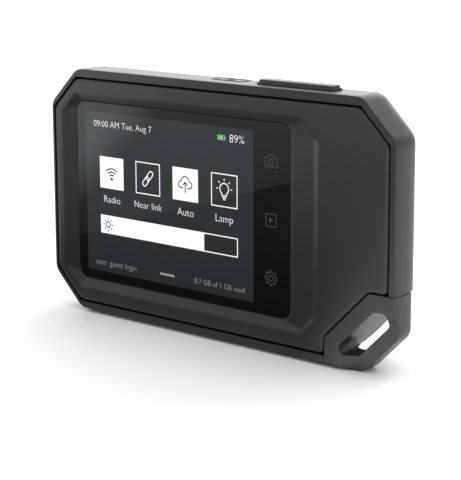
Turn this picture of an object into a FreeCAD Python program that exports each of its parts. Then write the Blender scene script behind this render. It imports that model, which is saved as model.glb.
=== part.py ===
"""Pocket thermal camera: a rugged hand-held body with a rear touch screen.

Millimetres. The origin is the centre of the foot-print on the surface that the
camera stands on: +X runs along the body towards the grip and the lanyard loop,
+Y runs from the screen to the lens, +Z is up.
"""
import FreeCAD, Part
import math
import os
import Sketcher

os.makedirs("parts", exist_ok=True)

Vector = FreeCAD.Vector
DOC = FreeCAD.newDocument("PocketThermalCamera")
SHEET = DOC.addObject("Spreadsheet::Sheet", "Sizes")
NODES = []


# ---------------------------------------------------------------- sizes
class Size:
    """A length that carries its number and the spreadsheet expression behind it."""

    def __init__(self, value, text):
        self.value = value
        self.text = text

    @staticmethod
    def of(other):
        """Return a plain number as a Size and leave a Size alone."""
        if isinstance(other, Size):
            return other
        return Size(float(other), "%.9g" % other)

    def join(self, other, sign, value):
        """Return the Size of this one and another, written with the given sign."""
        return Size(value, "(%s %s %s)" % (self.text, sign, Size.of(other).text))

    def __add__(self, other):
        return self.join(other, "+", self.value + Size.of(other).value)

    def __sub__(self, other):
        return self.join(other, "-", self.value - Size.of(other).value)

    def __mul__(self, factor):
        return self.join(factor, "*", self.value * Size.of(factor).value)

    def __truediv__(self, divisor):
        return self.join(divisor, "/", self.value / Size.of(divisor).value)

    def __neg__(self):
        return Size.of(0) - self

    def __radd__(self, other):
        return Size.of(other) + self

    def __rsub__(self, other):
        return Size.of(other) - self

    def __rmul__(self, factor):
        return self * factor


def size(name, number, note):
    """Write one driving dimension into the sheet and return it as a Size."""
    row = size.next_row
    size.next_row = row + 1
    SHEET.set("A%d" % row, name)
    SHEET.set("B%d" % row, str(number))
    SHEET.setAlias("B%d" % row, name)
    SHEET.set("C%d" % row, note)
    return Size(float(number), "Sizes.%s" % name)


size.next_row = 1

# Overall form
body_width = size("body_width", 138, "overall width")
body_height = size("body_height", 81.5, "height without the shutter bar")
housing_depth = size("housing_depth", 22, "rim plane to lens face")
plate_proud = size("plate_proud", 2, "optics plate above the lens face")
corner_leg = size("corner_leg", 12.3, "leg of each 45 degree corner")
corner_round = size("corner_round", 5, "radius where a corner meets a side")
wall = size("wall", 2.2, "housing wall")
fit = size("fit", 0.15, "gap between parts that are glued or clipped in")
run_gap = size("run_gap", 0.3, "gap around parts that move")
parting_gap = size("parting_gap", 0.7, "visible gap round the rear cover")
notch_gap = size("notch_gap", 0.55, "visible gap between cover and lanyard corner")
seam_gap = size("seam_gap", 0.25, "seam between housing and lanyard corner")

# Rim and rear cover
rim_left = size("rim_left", 1.7, "rim width on the screen side")
rim_right = size("rim_right", 2.8, "rim width on the grip side")
rim_ends = size("rim_ends", 3.9, "rim width at the bottom with its lead-in")
rim_top = size("rim_top", 3.4, "rim width at the top")
cover_edge = size("cover_edge", 0.35, "rounded edge of the rear cover")
ledge = size("ledge", 1.6, "ledge that carries the cover")
gasket_thick = size("gasket_thick", 0.8, "gasket under the cover")
gasket_width = size("gasket_width", 1.1, "gasket")

# Screen window and its basin
glass_margin = size("glass_margin", 10, "left side to glass")
glass_width = size("glass_width", 89.2, "cover glass")
glass_height = size("glass_height", 59.4, "cover glass")
glass_thick = size("glass_thick", 1.1, "cover glass")
glass_round = size("glass_round", 3.5, "glass corner radius")
glass_recess = size("glass_recess", 1.9, "glass below the rim plane")
screen_rise = size("screen_rise", 0.25, "screen centre above mid height")
basin_left = size("basin_left", 5.2, "slope on the left of the glass")
basin_right = size("basin_right", 11.5, "slope on the right of the glass")
basin_top = size("basin_top", 2.7, "slope above the glass")
basin_bottom = size("basin_bottom", 3.3, "slope below the glass")
basin_leg = size("basin_leg", 6.5, "corner leg of the basin")
basin_knee = size("basin_knee", 0.55, "share of the recess where the slope steepens")
window_ledge = size("window_ledge", 1.5, "ledge behind the glass edge")
film_thick = size("film_thick", 0.15, "optical adhesive")
touch_thick = size("touch_thick", 0.35, "touch sensor")
mask_left = size("mask_left", 3.8, "glass edge to picture")
picture_width = size("picture_width", 71.1, "picture area")
panel_width = size("panel_width", 76.9, "display panel")
panel_height = size("panel_height", 63.9, "display panel")
panel_thick = size("panel_thick", 2.2, "display panel")
frame_wall = size("frame_wall", 1, "display frame wall")
frame_back = size("frame_back", 0.5, "display frame floor")
frame_round = size("frame_round", 2.2, "display frame corner radius")

# Lanyard corner
loop_reach = size("loop_reach", 24.7, "size of the lanyard corner along each edge")
loop_top = size("loop_top", 8.9, "straight top edge of the lanyard corner")
slot_offset = size("slot_offset", 4.8, "strip between parting line and slot")
slot_width = size("slot_width", 5.9, "lanyard slot across")
slot_side = size("slot_side", 3.5, "arm thickness at the side")
slot_floor = size("slot_floor", 4.5, "arm thickness at the bottom")
slot_round = size("slot_round", 1.6, "radius in the slot corners")
arm_setback = size("arm_setback", 2.6, "arm behind the rim plane")
arm_start = size("arm_start", 19.4, "where the arm starts along each edge")
arm_ramp = size("arm_ramp", 4.3, "length of the ramp down to the arm")
ear_depth = size("ear_depth", 9.4, "loop thickness from the rim plane")

# Controls on the top
bar_left = size("bar_left", 15.4, "left end of the shutter bar")
bar_width = size("bar_width", 28.9, "shutter bar")
bar_depth = size("bar_depth", 5.6, "shutter bar front to back")
bar_setback = size("bar_setback", 3.3, "shutter bar behind the rim plane")
bar_proud = size("bar_proud", 1.5, "shutter bar above the body")
bar_step = size("bar_step", 0.6, "step round the crown of the bar")
bar_base = size("bar_base", 0.6, "base of the bar above the body")
bar_sunk = size("bar_sunk", 0.6, "base of the bar below the body")
bar_round = size("bar_round", 1.6, "corner radius of the bar")
key_left = size("key_left", -4.1, "left end of the power key")
key_width = size("key_width", 13.8, "power key")
key_depth = size("key_depth", 5.4, "power key front to back")
key_setback = size("key_setback", 4.6, "power key behind the rim plane")
key_thick = size("key_thick", 0.9, "power key cap")
press_travel = size("press_travel", 0.5, "travel of both keys")
stem_width = size("stem_width", 5, "key stem along the body")
switch_setback = size("switch_setback", 10, "switches behind the rim plane")
stem_flange = size("stem_flange", 0.4, "retaining flange of a key stem")
switch_size = size("switch_size", 6, "tactile switch")
switch_height = size("switch_height", 2.8, "tactile switch")
plunger_radius = size("plunger_radius", 1.7, "switch plunger")
plunger_show = size("plunger_show", 0.6, "plunger above its switch")
board_thick = size("board_thick", 1, "circuit boards")
rib_width = size("rib_width", 2.5, "ribs that carry the button board")

# Side flap and socket
flap_height = size("flap_height", 13.5, "USB flap")
flap_width = size("flap_width", 5.4, "USB flap")
flap_thick = size("flap_thick", 3, "USB flap at its thick edge")
flap_setback = size("flap_setback", 5, "USB flap behind the rim plane")
flap_neck = size("flap_neck", 2.25, "hinge axis to the lower edge of the flap")
hinge_setback = size("hinge_setback", 0.6, "hinge barrel behind the edge of the flap")
hinge_length = size("hinge_length", 3.2, "hinge barrel")
hinge_radius = size("hinge_radius", 0.9, "hinge barrel")
flap_z = size("flap_z", 35.5, "lower edge of the USB flap")
swing_room = size("swing_room", 1.3, "room under the flap for its lower edge to swing")
pin_radius = size("pin_radius", 0.4, "flap hinge pin")
socket_width = size("socket_width", 8.94, "USB-C receptacle")
socket_height = size("socket_height", 3.2, "USB-C receptacle")
socket_length = size("socket_length", 7.2, "USB-C receptacle")
socket_skin = size("socket_skin", 0.3, "USB-C receptacle shell")

# Inside
cell_width = size("cell_width", 33, "battery cell")
cell_height = size("cell_height", 43, "battery cell")
cell_thick = size("cell_thick", 7.6, "battery cell")
screw_radius = size("screw_radius", 1, "thread of the case screws")
screw_head = size("screw_head", 1.9, "case screw head radius")
screw_cap = size("screw_cap", 1.5, "case screw head height")
boss_wall = size("boss_wall", 1.1, "wall of a screw boss")
boss_inset = size("boss_inset", 7.4, "case screws in from the side")
boss_split = size("boss_split", 9.4, "rim plane to the joint between the bosses")
boss_low = size("boss_low", 21.5, "height of the low left screw")
boss_low_right = size("boss_low_right", 31.5, "height of the low right screw")
boss_high = size("boss_high", 61.5, "height of the high screws")
tripod_radius = size("tripod_radius", 2.55, "core of the 1/4-20 thread")
tripod_outer = size("tripod_outer", 4, "tripod insert outside radius")
tripod_length = size("tripod_length", 5.4, "tripod insert")
tripod_y = size("tripod_y", 9.5, "tripod axis behind the rim plane")

pilot_radius = size("pilot_radius", 0.8, "pilot hole and core of a case screw")
shield_width = size("shield_width", 24, "shield can")
shield_thick = size("shield_thick", 1.4, "shield can")
shield_height = size("shield_height", 18, "shield can")
memory_width = size("memory_width", 11, "memory chip")
memory_thick = size("memory_thick", 1, "memory chip")
memory_height = size("memory_height", 13, "memory chip")
ribbon_thick = size("ribbon_thick", 0.2, "display ribbon")
pad_thick = size("pad_thick", 0.8, "foam pad on the battery")
tray_thick = size("tray_thick", 1.2, "battery tray")
antenna_width = size("antenna_width", 30, "antenna strip")
antenna_depth = size("antenna_depth", 5, "antenna strip")
antenna_thick = size("antenna_thick", 0.3, "antenna strip")

# Optics
thin_board = size("thin_board", 0.8, "sensor board and lamp board")
throat_radius = size("throat_radius", 4, "clear opening behind the lens")
retainer_radius = size("retainer_radius", 3.7, "opening of the lens retainer")
retainer_thick = size("retainer_thick", 0.9, "lens retainer")
bracket_thick = size("bracket_thick", 3.2, "bracket of the camera and the lamp")
module_width = size("module_width", 8.4, "visible camera module")
lamp_board_width = size("lamp_board_width", 9, "lamp board")
led_width = size("led_width", 3.5, "lamp LED")
led_thick = size("led_thick", 0.8, "lamp LED")
plate_round = size("plate_round", 6, "corner radius of the optics plate")
plate_bevel = size("plate_bevel", 0.9, "bevel round the optics plate")
lens_x = size("lens_x", -28, "thermal lens axis")
camera_x = size("camera_x", -8, "visible camera axis")
lamp_x = size("lamp_x", 5, "lamp axis")
optics_z = size("optics_z", 52, "height of the optics axes")
lens_radius = size("lens_radius", 4.5, "germanium lens")
lens_thick = size("lens_thick", 2.3, "germanium lens")
barrel_radius = size("barrel_radius", 6.5, "lens barrel outside")
barrel_length = size("barrel_length", 5.7, "lens barrel")
small_hole = size("small_hole", 3, "camera and lamp openings in the housing")
window_radius = size("window_radius", 3.6, "camera window and lamp lens")
window_thick = size("window_thick", 0.9, "camera window and lamp lens")
plate_left = size("plate_left", 15, "optics plate beyond the lens axis")
plate_right = size("plate_right", 10, "optics plate beyond the lamp axis")
plate_half = size("plate_half", 13, "half height of the optics plate")
chamber_left = size("chamber_left", 14.5, "core chamber left of the axis")
chamber_right = size("chamber_right", 9, "core chamber right of the axis")
chamber_low = size("chamber_low", 10.5, "core chamber below the axis")
chamber_wall = size("chamber_wall", 1, "core housing wall")
sensor_size = size("sensor_size", 8.8, "thermal sensor package")
sensor_thick = size("sensor_thick", 2.2, "thermal sensor package")
flag_arm_x = size("flag_arm_x", 5.5, "flag pivot left of the axis")
flag_arm_z = size("flag_arm_z", 7.5, "flag pivot below the axis")
flag_park = size("flag_park", 62, "angle from closed to parked")
flag_thick = size("flag_thick", 0.4, "calibration flag")
flag_radius = size("flag_radius", 4.4, "paddle of the flag")
motor_radius = size("motor_radius", 2.3, "flag motor")

# Places worked out from the sizes above
rim_y = -(housing_depth + plate_proud) / 2
face_y = rim_y + housing_depth
left = -body_width / 2
right = body_width / 2
bottom = Size.of(0)
top = body_height
glass_left = left + glass_margin
glass_right = glass_left + glass_width
screen_z = body_height / 2 + screen_rise
glass_low = screen_z - glass_height / 2
glass_high = screen_z + glass_height / 2
picture_x = glass_left + mask_left + picture_width / 2
glass_y = rim_y + glass_recess
film_y = glass_y + glass_thick
touch_y = film_y + film_thick
cover_back_y = touch_y + touch_thick
cover_thick = cover_back_y - rim_y
seat_y = cover_back_y + gasket_thick
frame_y = cover_back_y + panel_thick
mainboard_y = frame_y + frame_back + 1.2
chip_y = mainboard_y + board_thick
chassis_y = chip_y + 1.6
core_y = chassis_y + board_thick
OCTAGON_TAN = math.tan(math.radians(22.5))
ROOT_TWO = math.sqrt(2)


# ---------------------------------------------------------------- document helpers
def bind(target, prop, amount):
    """Tie a property of a document object to a Size."""
    target.setExpression(prop, Size.of(amount).text)


def move_to(target, x, y, z):
    """Tie the position of a document object to three Sizes."""
    for axis, amount in (("x", x), ("y", y), ("z", z)):
        bind(target, "Placement.Base.%s" % axis, amount)


def new_body(label):
    """Start a PartDesign body."""
    body = DOC.addObject("PartDesign::Body", "Body")
    body.Label = label
    return body


def new_sketch(body, plane, height):
    """Attach a sketch to an origin plane, at a height along that plane's axis."""
    sketch = body.newObject("Sketcher::SketchObject", "Sketch")
    role = plane + "_Plane"
    support = [item for item in body.Origin.OriginFeatures if item.Role == role][0]
    sketch.AttachmentSupport = (support, [""])
    sketch.MapMode = "FlatFace"
    bind(sketch, "AttachmentOffset.Base.z", -Size.of(height) if plane == "XZ" else height)
    return sketch


def pin_corner(sketch, line, corner):
    """Fix the start of a line at a corner given by two Sizes."""
    for kind, amount in zip(("DistanceX", "DistanceY"), corner):
        rule = Sketcher.Constraint(kind, -1, 1, line, 1, amount.value)
        sketch.setExpression("Constraints[%d]" % sketch.addConstraint(rule), amount.text)


def draw_outline(sketch, corners, radius=None):
    """Draw a closed polygon through the corners, rounded when a radius is given.

    The corners run anticlockwise in the sketch. A radius of its own may be given
    for each corner as a list, in which None leaves that corner sharp.
    """
    corners = [(Size.of(a), Size.of(b)) for a, b in corners]
    count = len(corners)
    radii = radius if isinstance(radius, list) else [radius] * count
    points = [Vector(a.value, b.value, 0) for a, b in corners]
    rounded = any(r is not None for r in radii)
    for i in range(count):
        sketch.addGeometry(Part.LineSegment(points[i], points[(i + 1) % count]), rounded)
    for i in range(count):
        sketch.addConstraint(Sketcher.Constraint("Coincident", i, 2, (i + 1) % count, 1))
        pin_corner(sketch, i, corners[i])
    if rounded:
        round_corners(sketch, points, radii)


def round_corners(sketch, points, radii):
    """Lay lines on the construction polygon and join them with tangent arcs."""
    count = len(points)
    starts, ends, arcs = [], [], []
    for i in range(count):
        corner = points[i]
        back = (points[i - 1] - corner).normalize()
        ahead = (points[(i + 1) % count] - corner).normalize()
        if radii[i] is None:
            starts.append(corner)
            ends.append(corner)
            arcs.append(None)
            continue
        half = back.getAngle(ahead) / 2
        reach = Size.of(radii[i]).value / math.tan(half)
        ends.append(corner + back * reach)
        starts.append(corner + ahead * reach)
        middle = corner + (back + ahead).normalize() * (Size.of(radii[i]).value / math.sin(half))
        left_turn = back.cross(ahead).z < 0
        first, last = (ends[i], starts[i]) if left_turn else (starts[i], ends[i])
        circle = Part.Circle(middle, Vector(0, 0, 1), Size.of(radii[i]).value)
        angles = [math.atan2(p.y - middle.y, p.x - middle.x) for p in (first, last)]
        index = sketch.addGeometry(Part.ArcOfCircle(circle, angles[0], angles[1]), False)
        arcs.append((index, 1 if left_turn else 2, 2 if left_turn else 1))
        rule = sketch.addConstraint(Sketcher.Constraint("Radius", index, circle.Radius))
        sketch.setExpression("Constraints[%d]" % rule, Size.of(radii[i]).text)
    for i in range(count):
        after = (i + 1) % count
        line = sketch.addGeometry(Part.LineSegment(starts[i], ends[after]), False)
        for corner, side in ((i, 1), (after, 2)):
            if arcs[corner] is None:
                rule = Sketcher.Constraint("Coincident", line, side, corner, 1)
                sketch.addConstraint(rule)
                continue
            sketch.addConstraint(Sketcher.Constraint("PointOnObject", line, side, i))
            arc, arc_in, arc_out = arcs[corner]
            meeting = arc_out if side == 1 else arc_in
            sketch.addConstraint(Sketcher.Constraint("Tangent", line, side, arc, meeting))


def pad(body, plane, corners, start, length, radius=None):
    """Pad an outline from start along the plane's positive axis."""
    sketch = new_sketch(body, plane, start)
    draw_outline(sketch, corners, radius)
    feature = body.newObject("PartDesign::Pad", "Pad")
    feature.Profile = sketch
    feature.Reversed = plane == "XZ"
    bind(feature, "Length", length)
    body.Tip = feature
    return feature


def pocket(body, plane, corners, start, length, radius=None):
    """Cut an outline from start along the plane's positive axis."""
    sketch = new_sketch(body, plane, start)
    draw_outline(sketch, corners, radius)
    feature = body.newObject("PartDesign::Pocket", "Pocket")
    feature.Profile = sketch
    feature.Reversed = plane != "XZ"
    bind(feature, "Length", length)
    body.Tip = feature
    return feature


def loft(body, kind, sections, ruled):
    """Loft through (outline, radius, y) sections, added or taken away."""
    sketches = []
    for outline, radius, height in sections:
        sketch = new_sketch(body, "XZ", height)
        draw_outline(sketch, outline, radius)
        sketches.append(sketch)
    feature = body.newObject("PartDesign::%sLoft" % kind, "Loft")
    feature.Profile = sketches[0]
    feature.Sections = sketches[1:]
    feature.Ruled = ruled
    body.Tip = feature
    return feature


def dress(body, kind, amount, chosen):
    """Fillet or chamfer the edges of the body's tip that a test picks."""
    DOC.recompute()
    base = body.Tip
    names = ["Edge%d" % (i + 1) for i, edge in enumerate(base.Shape.Edges) if chosen(edge)]
    feature = body.newObject("PartDesign::%s" % kind, kind)
    feature.Base = (base, names)
    bind(feature, "Radius" if kind == "Fillet" else "Size", amount)
    body.Tip = feature
    return feature


def prism(label, plane, corners, start, length, radius=None):
    """Return a body with one padded outline."""
    body = new_body(label)
    pad(body, plane, corners, start, length, radius)
    return body


def rectangle(low_a, low_b, high_a, high_b):
    """Return the corners of a rectangle, anticlockwise."""
    return [(low_a, low_b), (high_a, low_b), (high_a, high_b), (low_a, high_b)]


def block(label, corner, extent):
    """Return a Part box from its low corner and its three lengths."""
    box = DOC.addObject("Part::Box", "Box")
    box.Label = label
    for prop, amount in zip(("Length", "Width", "Height"), extent):
        bind(box, prop, amount)
    move_to(box, *corner)
    return box


ALONG = {
    "X": FreeCAD.Rotation(Vector(0, 1, 0), 90),
    "Y": FreeCAD.Rotation(Vector(1, 0, 0), -90),
    "Z": FreeCAD.Rotation(),
    "slant": FreeCAD.Rotation(Vector(0, 1, 0), 135),
}


def rod(label, along, start, radius, length):
    """Return a Part cylinder that starts at a point and runs along a direction."""
    cylinder = DOC.addObject("Part::Cylinder", "Cylinder")
    cylinder.Label = label
    bind(cylinder, "Radius", radius)
    bind(cylinder, "Height", length)
    cylinder.Placement = FreeCAD.Placement(Vector(), ALONG[along])
    move_to(cylinder, *start)
    return cylinder


def fuse(label, *pieces):
    """Return the union of the pieces."""
    result = DOC.addObject("Part::MultiFuse", "Fusion")
    result.Label = label
    result.Shapes = list(pieces)
    return result


def cut(label, base, *tools):
    """Return the base without the tools."""
    result = DOC.addObject("Part::Cut", "Cut")
    result.Label = label
    result.Base = base
    result.Tool = tools[0] if len(tools) == 1 else fuse(label + "_cutters", *tools)
    return result


def common(label, base, tool):
    """Return what two pieces share."""
    result = DOC.addObject("Part::Common", "Common")
    result.Label = label
    result.Base = base
    result.Tool = tool
    return result


def group(label, pieces):
    """Return identical separate solids as one compound."""
    result = DOC.addObject("Part::Compound", "Compound")
    result.Label = label
    result.Links = list(pieces)
    return result


def node(piece):
    """Register a finished sub-part; its label names its file."""
    NODES.append(piece)
    return piece


# ---------------------------------------------------------------- shared outlines
def octagon(x0, z0, x1, z1, leg):
    """Return a rectangle with its four corners cut at 45 degrees."""
    return [
        (x0 + leg, z0), (x1 - leg, z0), (x1, z0 + leg), (x1, z1 - leg),
        (x1 - leg, z1), (x0 + leg, z1), (x0, z1 - leg), (x0, z0 + leg),
    ]


def body_section(side, ends, slant, crown=None):
    """Return the body outline drawn in at the sides, the ends and the corners.

    The top is drawn in by its own amount when a crown is given.
    """
    leg = corner_leg - side - ends + ROOT_TWO * slant
    high = top - (ends if crown is None else crown)
    return octagon(left + side, bottom + ends, right - side, high, leg)


def loop_outline(spread):
    """Return the lanyard corner's outline, pushed out by a distance."""
    low_x = right - loop_reach - spread
    turn_x = right - loop_top - spread * OCTAGON_TAN
    turn_z = bottom + loop_reach + spread
    low_z = bottom + loop_top + spread * OCTAGON_TAN
    outside = 8
    return [
        (low_x, bottom - outside), (right + outside, bottom - outside),
        (right + outside, turn_z), (turn_x, turn_z), (low_x, low_z),
    ]


def cover_outline(inset):
    """Return the rear cover's outline with its lanyard notch, drawn in evenly."""
    notch = inset + notch_gap
    x0 = left + rim_left + inset
    x1 = right - rim_right - inset
    z0 = bottom + rim_ends + inset
    z1 = top - rim_top - inset
    leg = corner_leg - rim_left / 2 - rim_right / 2 - inset * (2 - ROOT_TWO)
    low_x, low_z = right - loop_reach - notch, bottom + loop_top + notch * OCTAGON_TAN
    turn_x, turn_z = right - loop_top - notch * OCTAGON_TAN, bottom + loop_reach + notch
    return [
        (x0 + leg, z0), (low_x, z0), (low_x, low_z), (turn_x, turn_z), (x1, turn_z),
        (x1, z1 - leg), (x1 - leg, z1), (x0 + leg, z1), (x0, z1 - leg), (x0, z0 + leg),
    ]


def outer_form(label):
    """Return the full body form: crisp at the rim, swelling, then tapering to the lens.

    The swell is trimmed level at the top and bottom, so the body stands on a flat.
    """
    lead = 3.5
    span = housing_depth - lead
    stations = [
        (rim_y, 0.3, 1.1, 0.6, 0.15, corner_round),
        (rim_y + lead, 0, 0.12, 0, -0.05, corner_round),
        (rim_y + lead + 0.22 * span, 0.2, -0.12, 0.1, -0.05, corner_round),
        (rim_y + lead + 0.41 * span, 1.2, -0.12, 0.6, 0.1, corner_round),
        (rim_y + lead + 0.6 * span, 4.4, 0.45, 2.1, 0.9, corner_round + 1),
        (rim_y + lead + 0.8 * span, 10.5, 1.9, 5.6, 2.6, corner_round + 2),
        (face_y, 19.5, 6.5, 11.8, 6.9, corner_round + 2),
    ]
    body = new_body(label)
    sections = [(body_section(side, ends, slant, crown), radius, y)
                for y, side, ends, slant, crown, radius in stations]
    loft(body, "Additive", sections, ruled=False)
    for low, high in ((bottom - 5, bottom), (top, top + 5)):
        pocket(body, "XZ", rectangle(left - 1, low, right + 1, high), rim_y - 1,
               housing_depth + 2)
    return body


# ---------------------------------------------------------------- housing
def loop_zone(label, spread):
    """Return the corner region that belongs to the lanyard loop."""
    depth = housing_depth + 2 * plate_proud
    return prism(label, "XZ", loop_outline(spread), rim_y - plate_proud, depth)


def cavity_form():
    """Return the hollow of the housing: a neck inside the ledge, then a tapering room."""
    room_y = seat_y + ledge
    tail = face_y - wall - room_y
    neck = prism("cavity_neck", "XZ",
                 body_section(rim_right + ledge, rim_ends + ledge, rim_right + ledge,
                              rim_top + ledge),
                 seat_y, ledge + 1)
    room = new_body("cavity_room")
    sections = [
        (body_section(wall + 0.8, wall, wall + 0.4), None, room_y),
        (body_section(wall + 2.4, wall, wall + 1), None, room_y + 0.34 * tail),
        (body_section(wall + 7.6, wall, wall + 3.4), None, room_y + 0.65 * tail),
        (body_section(wall + 17.8, wall + 5.6, wall + 11), None, face_y - wall),
    ]
    loft(room, "Additive", sections, ruled=True)
    return cut("cavity", fuse("cavity_whole", neck, room),
               loop_zone("loop_wall_zone", seam_gap + wall))


def boss_places():
    """Return the four case screw axes as (x, z)."""
    return [
        (left + boss_inset, bottom + boss_low), (left + boss_inset, bottom + boss_high),
        (right - boss_inset, bottom + boss_low_right), (right - boss_inset, bottom + boss_high),
    ]


boss_radius = screw_radius + boss_wall
boss_split_y = rim_y + boss_split
head_seat_y = boss_split_y + 1.2


def optics_axes():
    """Return each optical axis with its hole radius in the housing."""
    return [(lens_x, barrel_radius + run_gap), (camera_x, small_hole), (lamp_x, small_hole)]


bar_y = rim_y + bar_setback
bar_mid_x = bar_left + bar_width / 2
key_mid_x = key_left + key_width / 2
key_y = rim_y + key_setback
switch_y = rim_y + switch_setback
stem_front = seat_y + ledge + run_gap + 0.1
stem_back = bar_y + bar_depth - 0.2
top_inner = top - wall
flap_y = rim_y + flap_setback


def racetrack_prism(label, grow, start, length):
    """Return the power key's racetrack, grown all round."""
    outline = rectangle(key_left - grow, key_y - grow, key_left + key_width + grow,
                        key_y + key_depth + grow)
    radius = key_depth / 2 + grow - 0.01
    return prism(label, "XY", outline, start, length, radius)


def bar_prism(label, grow, start, length):
    """Return the shutter bar's rounded outline, grown or drawn in all round."""
    outline = rectangle(bar_left - grow, bar_y - grow, bar_left + bar_width + grow,
                        bar_y + bar_depth + grow)
    return prism(label, "XY", outline, start, length, bar_round + grow)


def stem_prism(label, middle_x, grow, low, high):
    """Return the stem under a key, or the hole that it runs in."""
    half = stem_width / 2 + grow
    outline = rectangle(middle_x - half, stem_front - grow, middle_x + half, stem_back + grow)
    return prism(label, "XY", outline, low, high - low)


button_board_z = top_inner - 4.9
switch_z = button_board_z + board_thick
switch_top = switch_z + switch_height
stem_low = switch_top + plunger_show
button_board_left = key_mid_x - switch_size / 2 - rib_width - 3.5
button_board_right = bar_mid_x + switch_size / 2 + rib_width + 3.5


def housing_inserts():
    """Return what stands inside the housing: bosses, pillars, blocks and ribs."""
    pieces = []
    for x, z in boss_places():
        pieces.append(rod("boss", "Y", (x, boss_split_y, z), boss_radius,
                          face_y - wall - boss_split_y))
    for x, z in standoffs():
        pieces.append(rod("pillar", "Y", (x, chassis_y + board_thick, z), screw_radius + 1.4,
                          face_y - wall + 0.5 - chassis_y - board_thick))
    pieces.append(block("socket_block", (left + 0.9, flap_y - 0.6, hinge_z - hinge_radius - 1.6),
                        (flap_thick + 2.3, flap_width + 2.2,
                         flap_height + flap_neck + hinge_radius + 3.2)))
    pieces.append(block("tripod_block",
                        (-tripod_outer - 2, rim_y + tripod_y - tripod_outer - 1.1, bottom + 1),
                        (2 * tripod_outer + 4, 2 * tripod_outer + 2.2, tripod_length + 1.1)))
    for x in (button_board_left, button_board_right - rib_width):
        pieces.append(block("button_rib", (x, switch_y - 4, switch_z),
                            (rib_width, Size.of(8), top_inner + 0.5 - switch_z)))
    return common("housing_inserts", fuse("inserts", *pieces), outer_form("insert_form"))


def top_openings():
    """Return the wells and stem holes of both keys."""
    above = Size.of(30)
    return [
        bar_prism("bar_well", run_gap, top - bar_sunk - press_travel - run_gap, above),
        stem_prism("bar_stem_hole", bar_mid_x, run_gap, top_inner - 1, top),
        racetrack_prism("key_well", run_gap, top - key_thick - press_travel - run_gap, above),
        stem_prism("key_stem_hole", key_mid_x, run_gap, top_inner - 1, top),
    ]


def flap_openings():
    """Return the bay of the flap, the nook of its hinge, the pin bore and the socket bay."""
    bay_depth = flap_thick + run_gap + 5
    nook_z = hinge_z - hinge_radius - run_gap
    return [
        block("flap_bay", (left - 5, flap_y - run_gap, flap_z - run_gap),
              (bay_depth, flap_width + 2 * run_gap, flap_height + 2 * run_gap)),
        block("hinge_nook", (left - 5, hinge_y - 0.1, nook_z),
              (bay_depth, hinge_length + 0.2, flap_z - nook_z)),
        block("flap_swing_room", (left - 5, flap_y - run_gap, flap_z - run_gap - swing_room),
              (swing_room + 5, flap_width + 2 * run_gap, swing_room + run_gap)),
        rod("flap_pin_bore", "Y", (hinge_x, hinge_y - pin_engage, hinge_z), pin_radius + 0.02,
            hinge_length + 2 * pin_engage),
        socket_form("socket_bay", fit, left + flap_thick, Size.of(8)),
    ]


def front_housing():
    """Build the housing: a tapering bucket with its bosses, keys and lens openings."""
    recess = prism("cover_recess", "XZ", cover_outline(-parting_gap), rim_y - 1,
                   cover_thick + gasket_thick + 1)
    shell = cut("housing_shell", outer_form("housing_form"), cavity_form())
    solid = cut("housing_body", fuse("housing_solid", shell, housing_inserts()), recess,
                loop_zone("loop_seam_zone", seam_gap))
    openings = top_openings() + flap_openings()
    for x, z in boss_places():
        openings.append(rod("boss_hole", "Y", (x, seat_y, z), screw_radius + fit, housing_depth))
        openings.append(rod("boss_counterbore", "Y", (x, head_seat_y, z), screw_head + fit,
                            housing_depth))
    for x, z in standoffs():
        openings.append(rod("pillar_pilot", "Y", (x, chassis_y, z), pilot_radius,
                            board_thick + 3.4))
    for x, radius in optics_axes():
        openings.append(rod("lens_opening", "Y", (x, face_y - wall - 4, optics_z), radius,
                            Size.of(30)))
    openings.append(rod("tripod_bore", "Z", (Size.of(0), rim_y + tripod_y, bottom - 1),
                        tripod_outer, tripod_length + 1))
    for x, z in loop_screw_places():
        openings.append(rod("loop_screw_hole", "slant", (x, loop_screw_y, z),
                            screw_radius + fit, Size.of(12)))
    return node(cut("front_housing", solid, fuse("housing_openings", *openings)))


# ---------------------------------------------------------------- side socket and flap
pin_engage = Size.of(0.8)
hinge_x = left + flap_thick - hinge_radius
hinge_y = flap_y + hinge_setback
hinge_z = flap_z - flap_neck
socket_mid_z = flap_z + flap_height / 2
socket_y = mainboard_y + board_thick / 2 - socket_height / 2


def socket_form(label, grow, start, length):
    """Return the receptacle's rounded body, grown or drawn in all round."""
    outline = rectangle(socket_y - grow, socket_mid_z - socket_width / 2 - grow,
                        socket_y + socket_height + grow, socket_mid_z + socket_width / 2 + grow)
    return prism(label, "YZ", outline, start, length, socket_height / 2 + grow - 0.02)


def usb_flap():
    """Build the flap: its skin follows the body and a short neck leads to the hinge."""
    outline = rectangle(flap_y, flap_z, flap_y + flap_width, flap_z + flap_height)
    plate = prism("flap_plate", "YZ", outline, left - 1, flap_thick + 1)
    skin = common("flap_skin", plate, outer_form("flap_form"))
    barrel = rod("flap_barrel", "Y", (hinge_x, hinge_y, hinge_z), hinge_radius, hinge_length)
    neck = block("flap_neck_leaf", (hinge_x - 0.45, hinge_y, hinge_z),
                 (Size.of(0.9), hinge_length, flap_neck + 1))
    plug = socket_form("flap_plug", -socket_skin - 0.4, left + flap_thick, Size.of(0.8))
    bore = rod("flap_bore", "Y", (hinge_x, hinge_y - 1, hinge_z), pin_radius + 0.03,
               hinge_length + 2)
    node(cut("usb_flap", fuse("flap_body", skin, barrel, neck, plug), bore))
    node(rod("flap_pin", "Y", (hinge_x, hinge_y - pin_engage, hinge_z), pin_radius,
             hinge_length + 2 * pin_engage))


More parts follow.
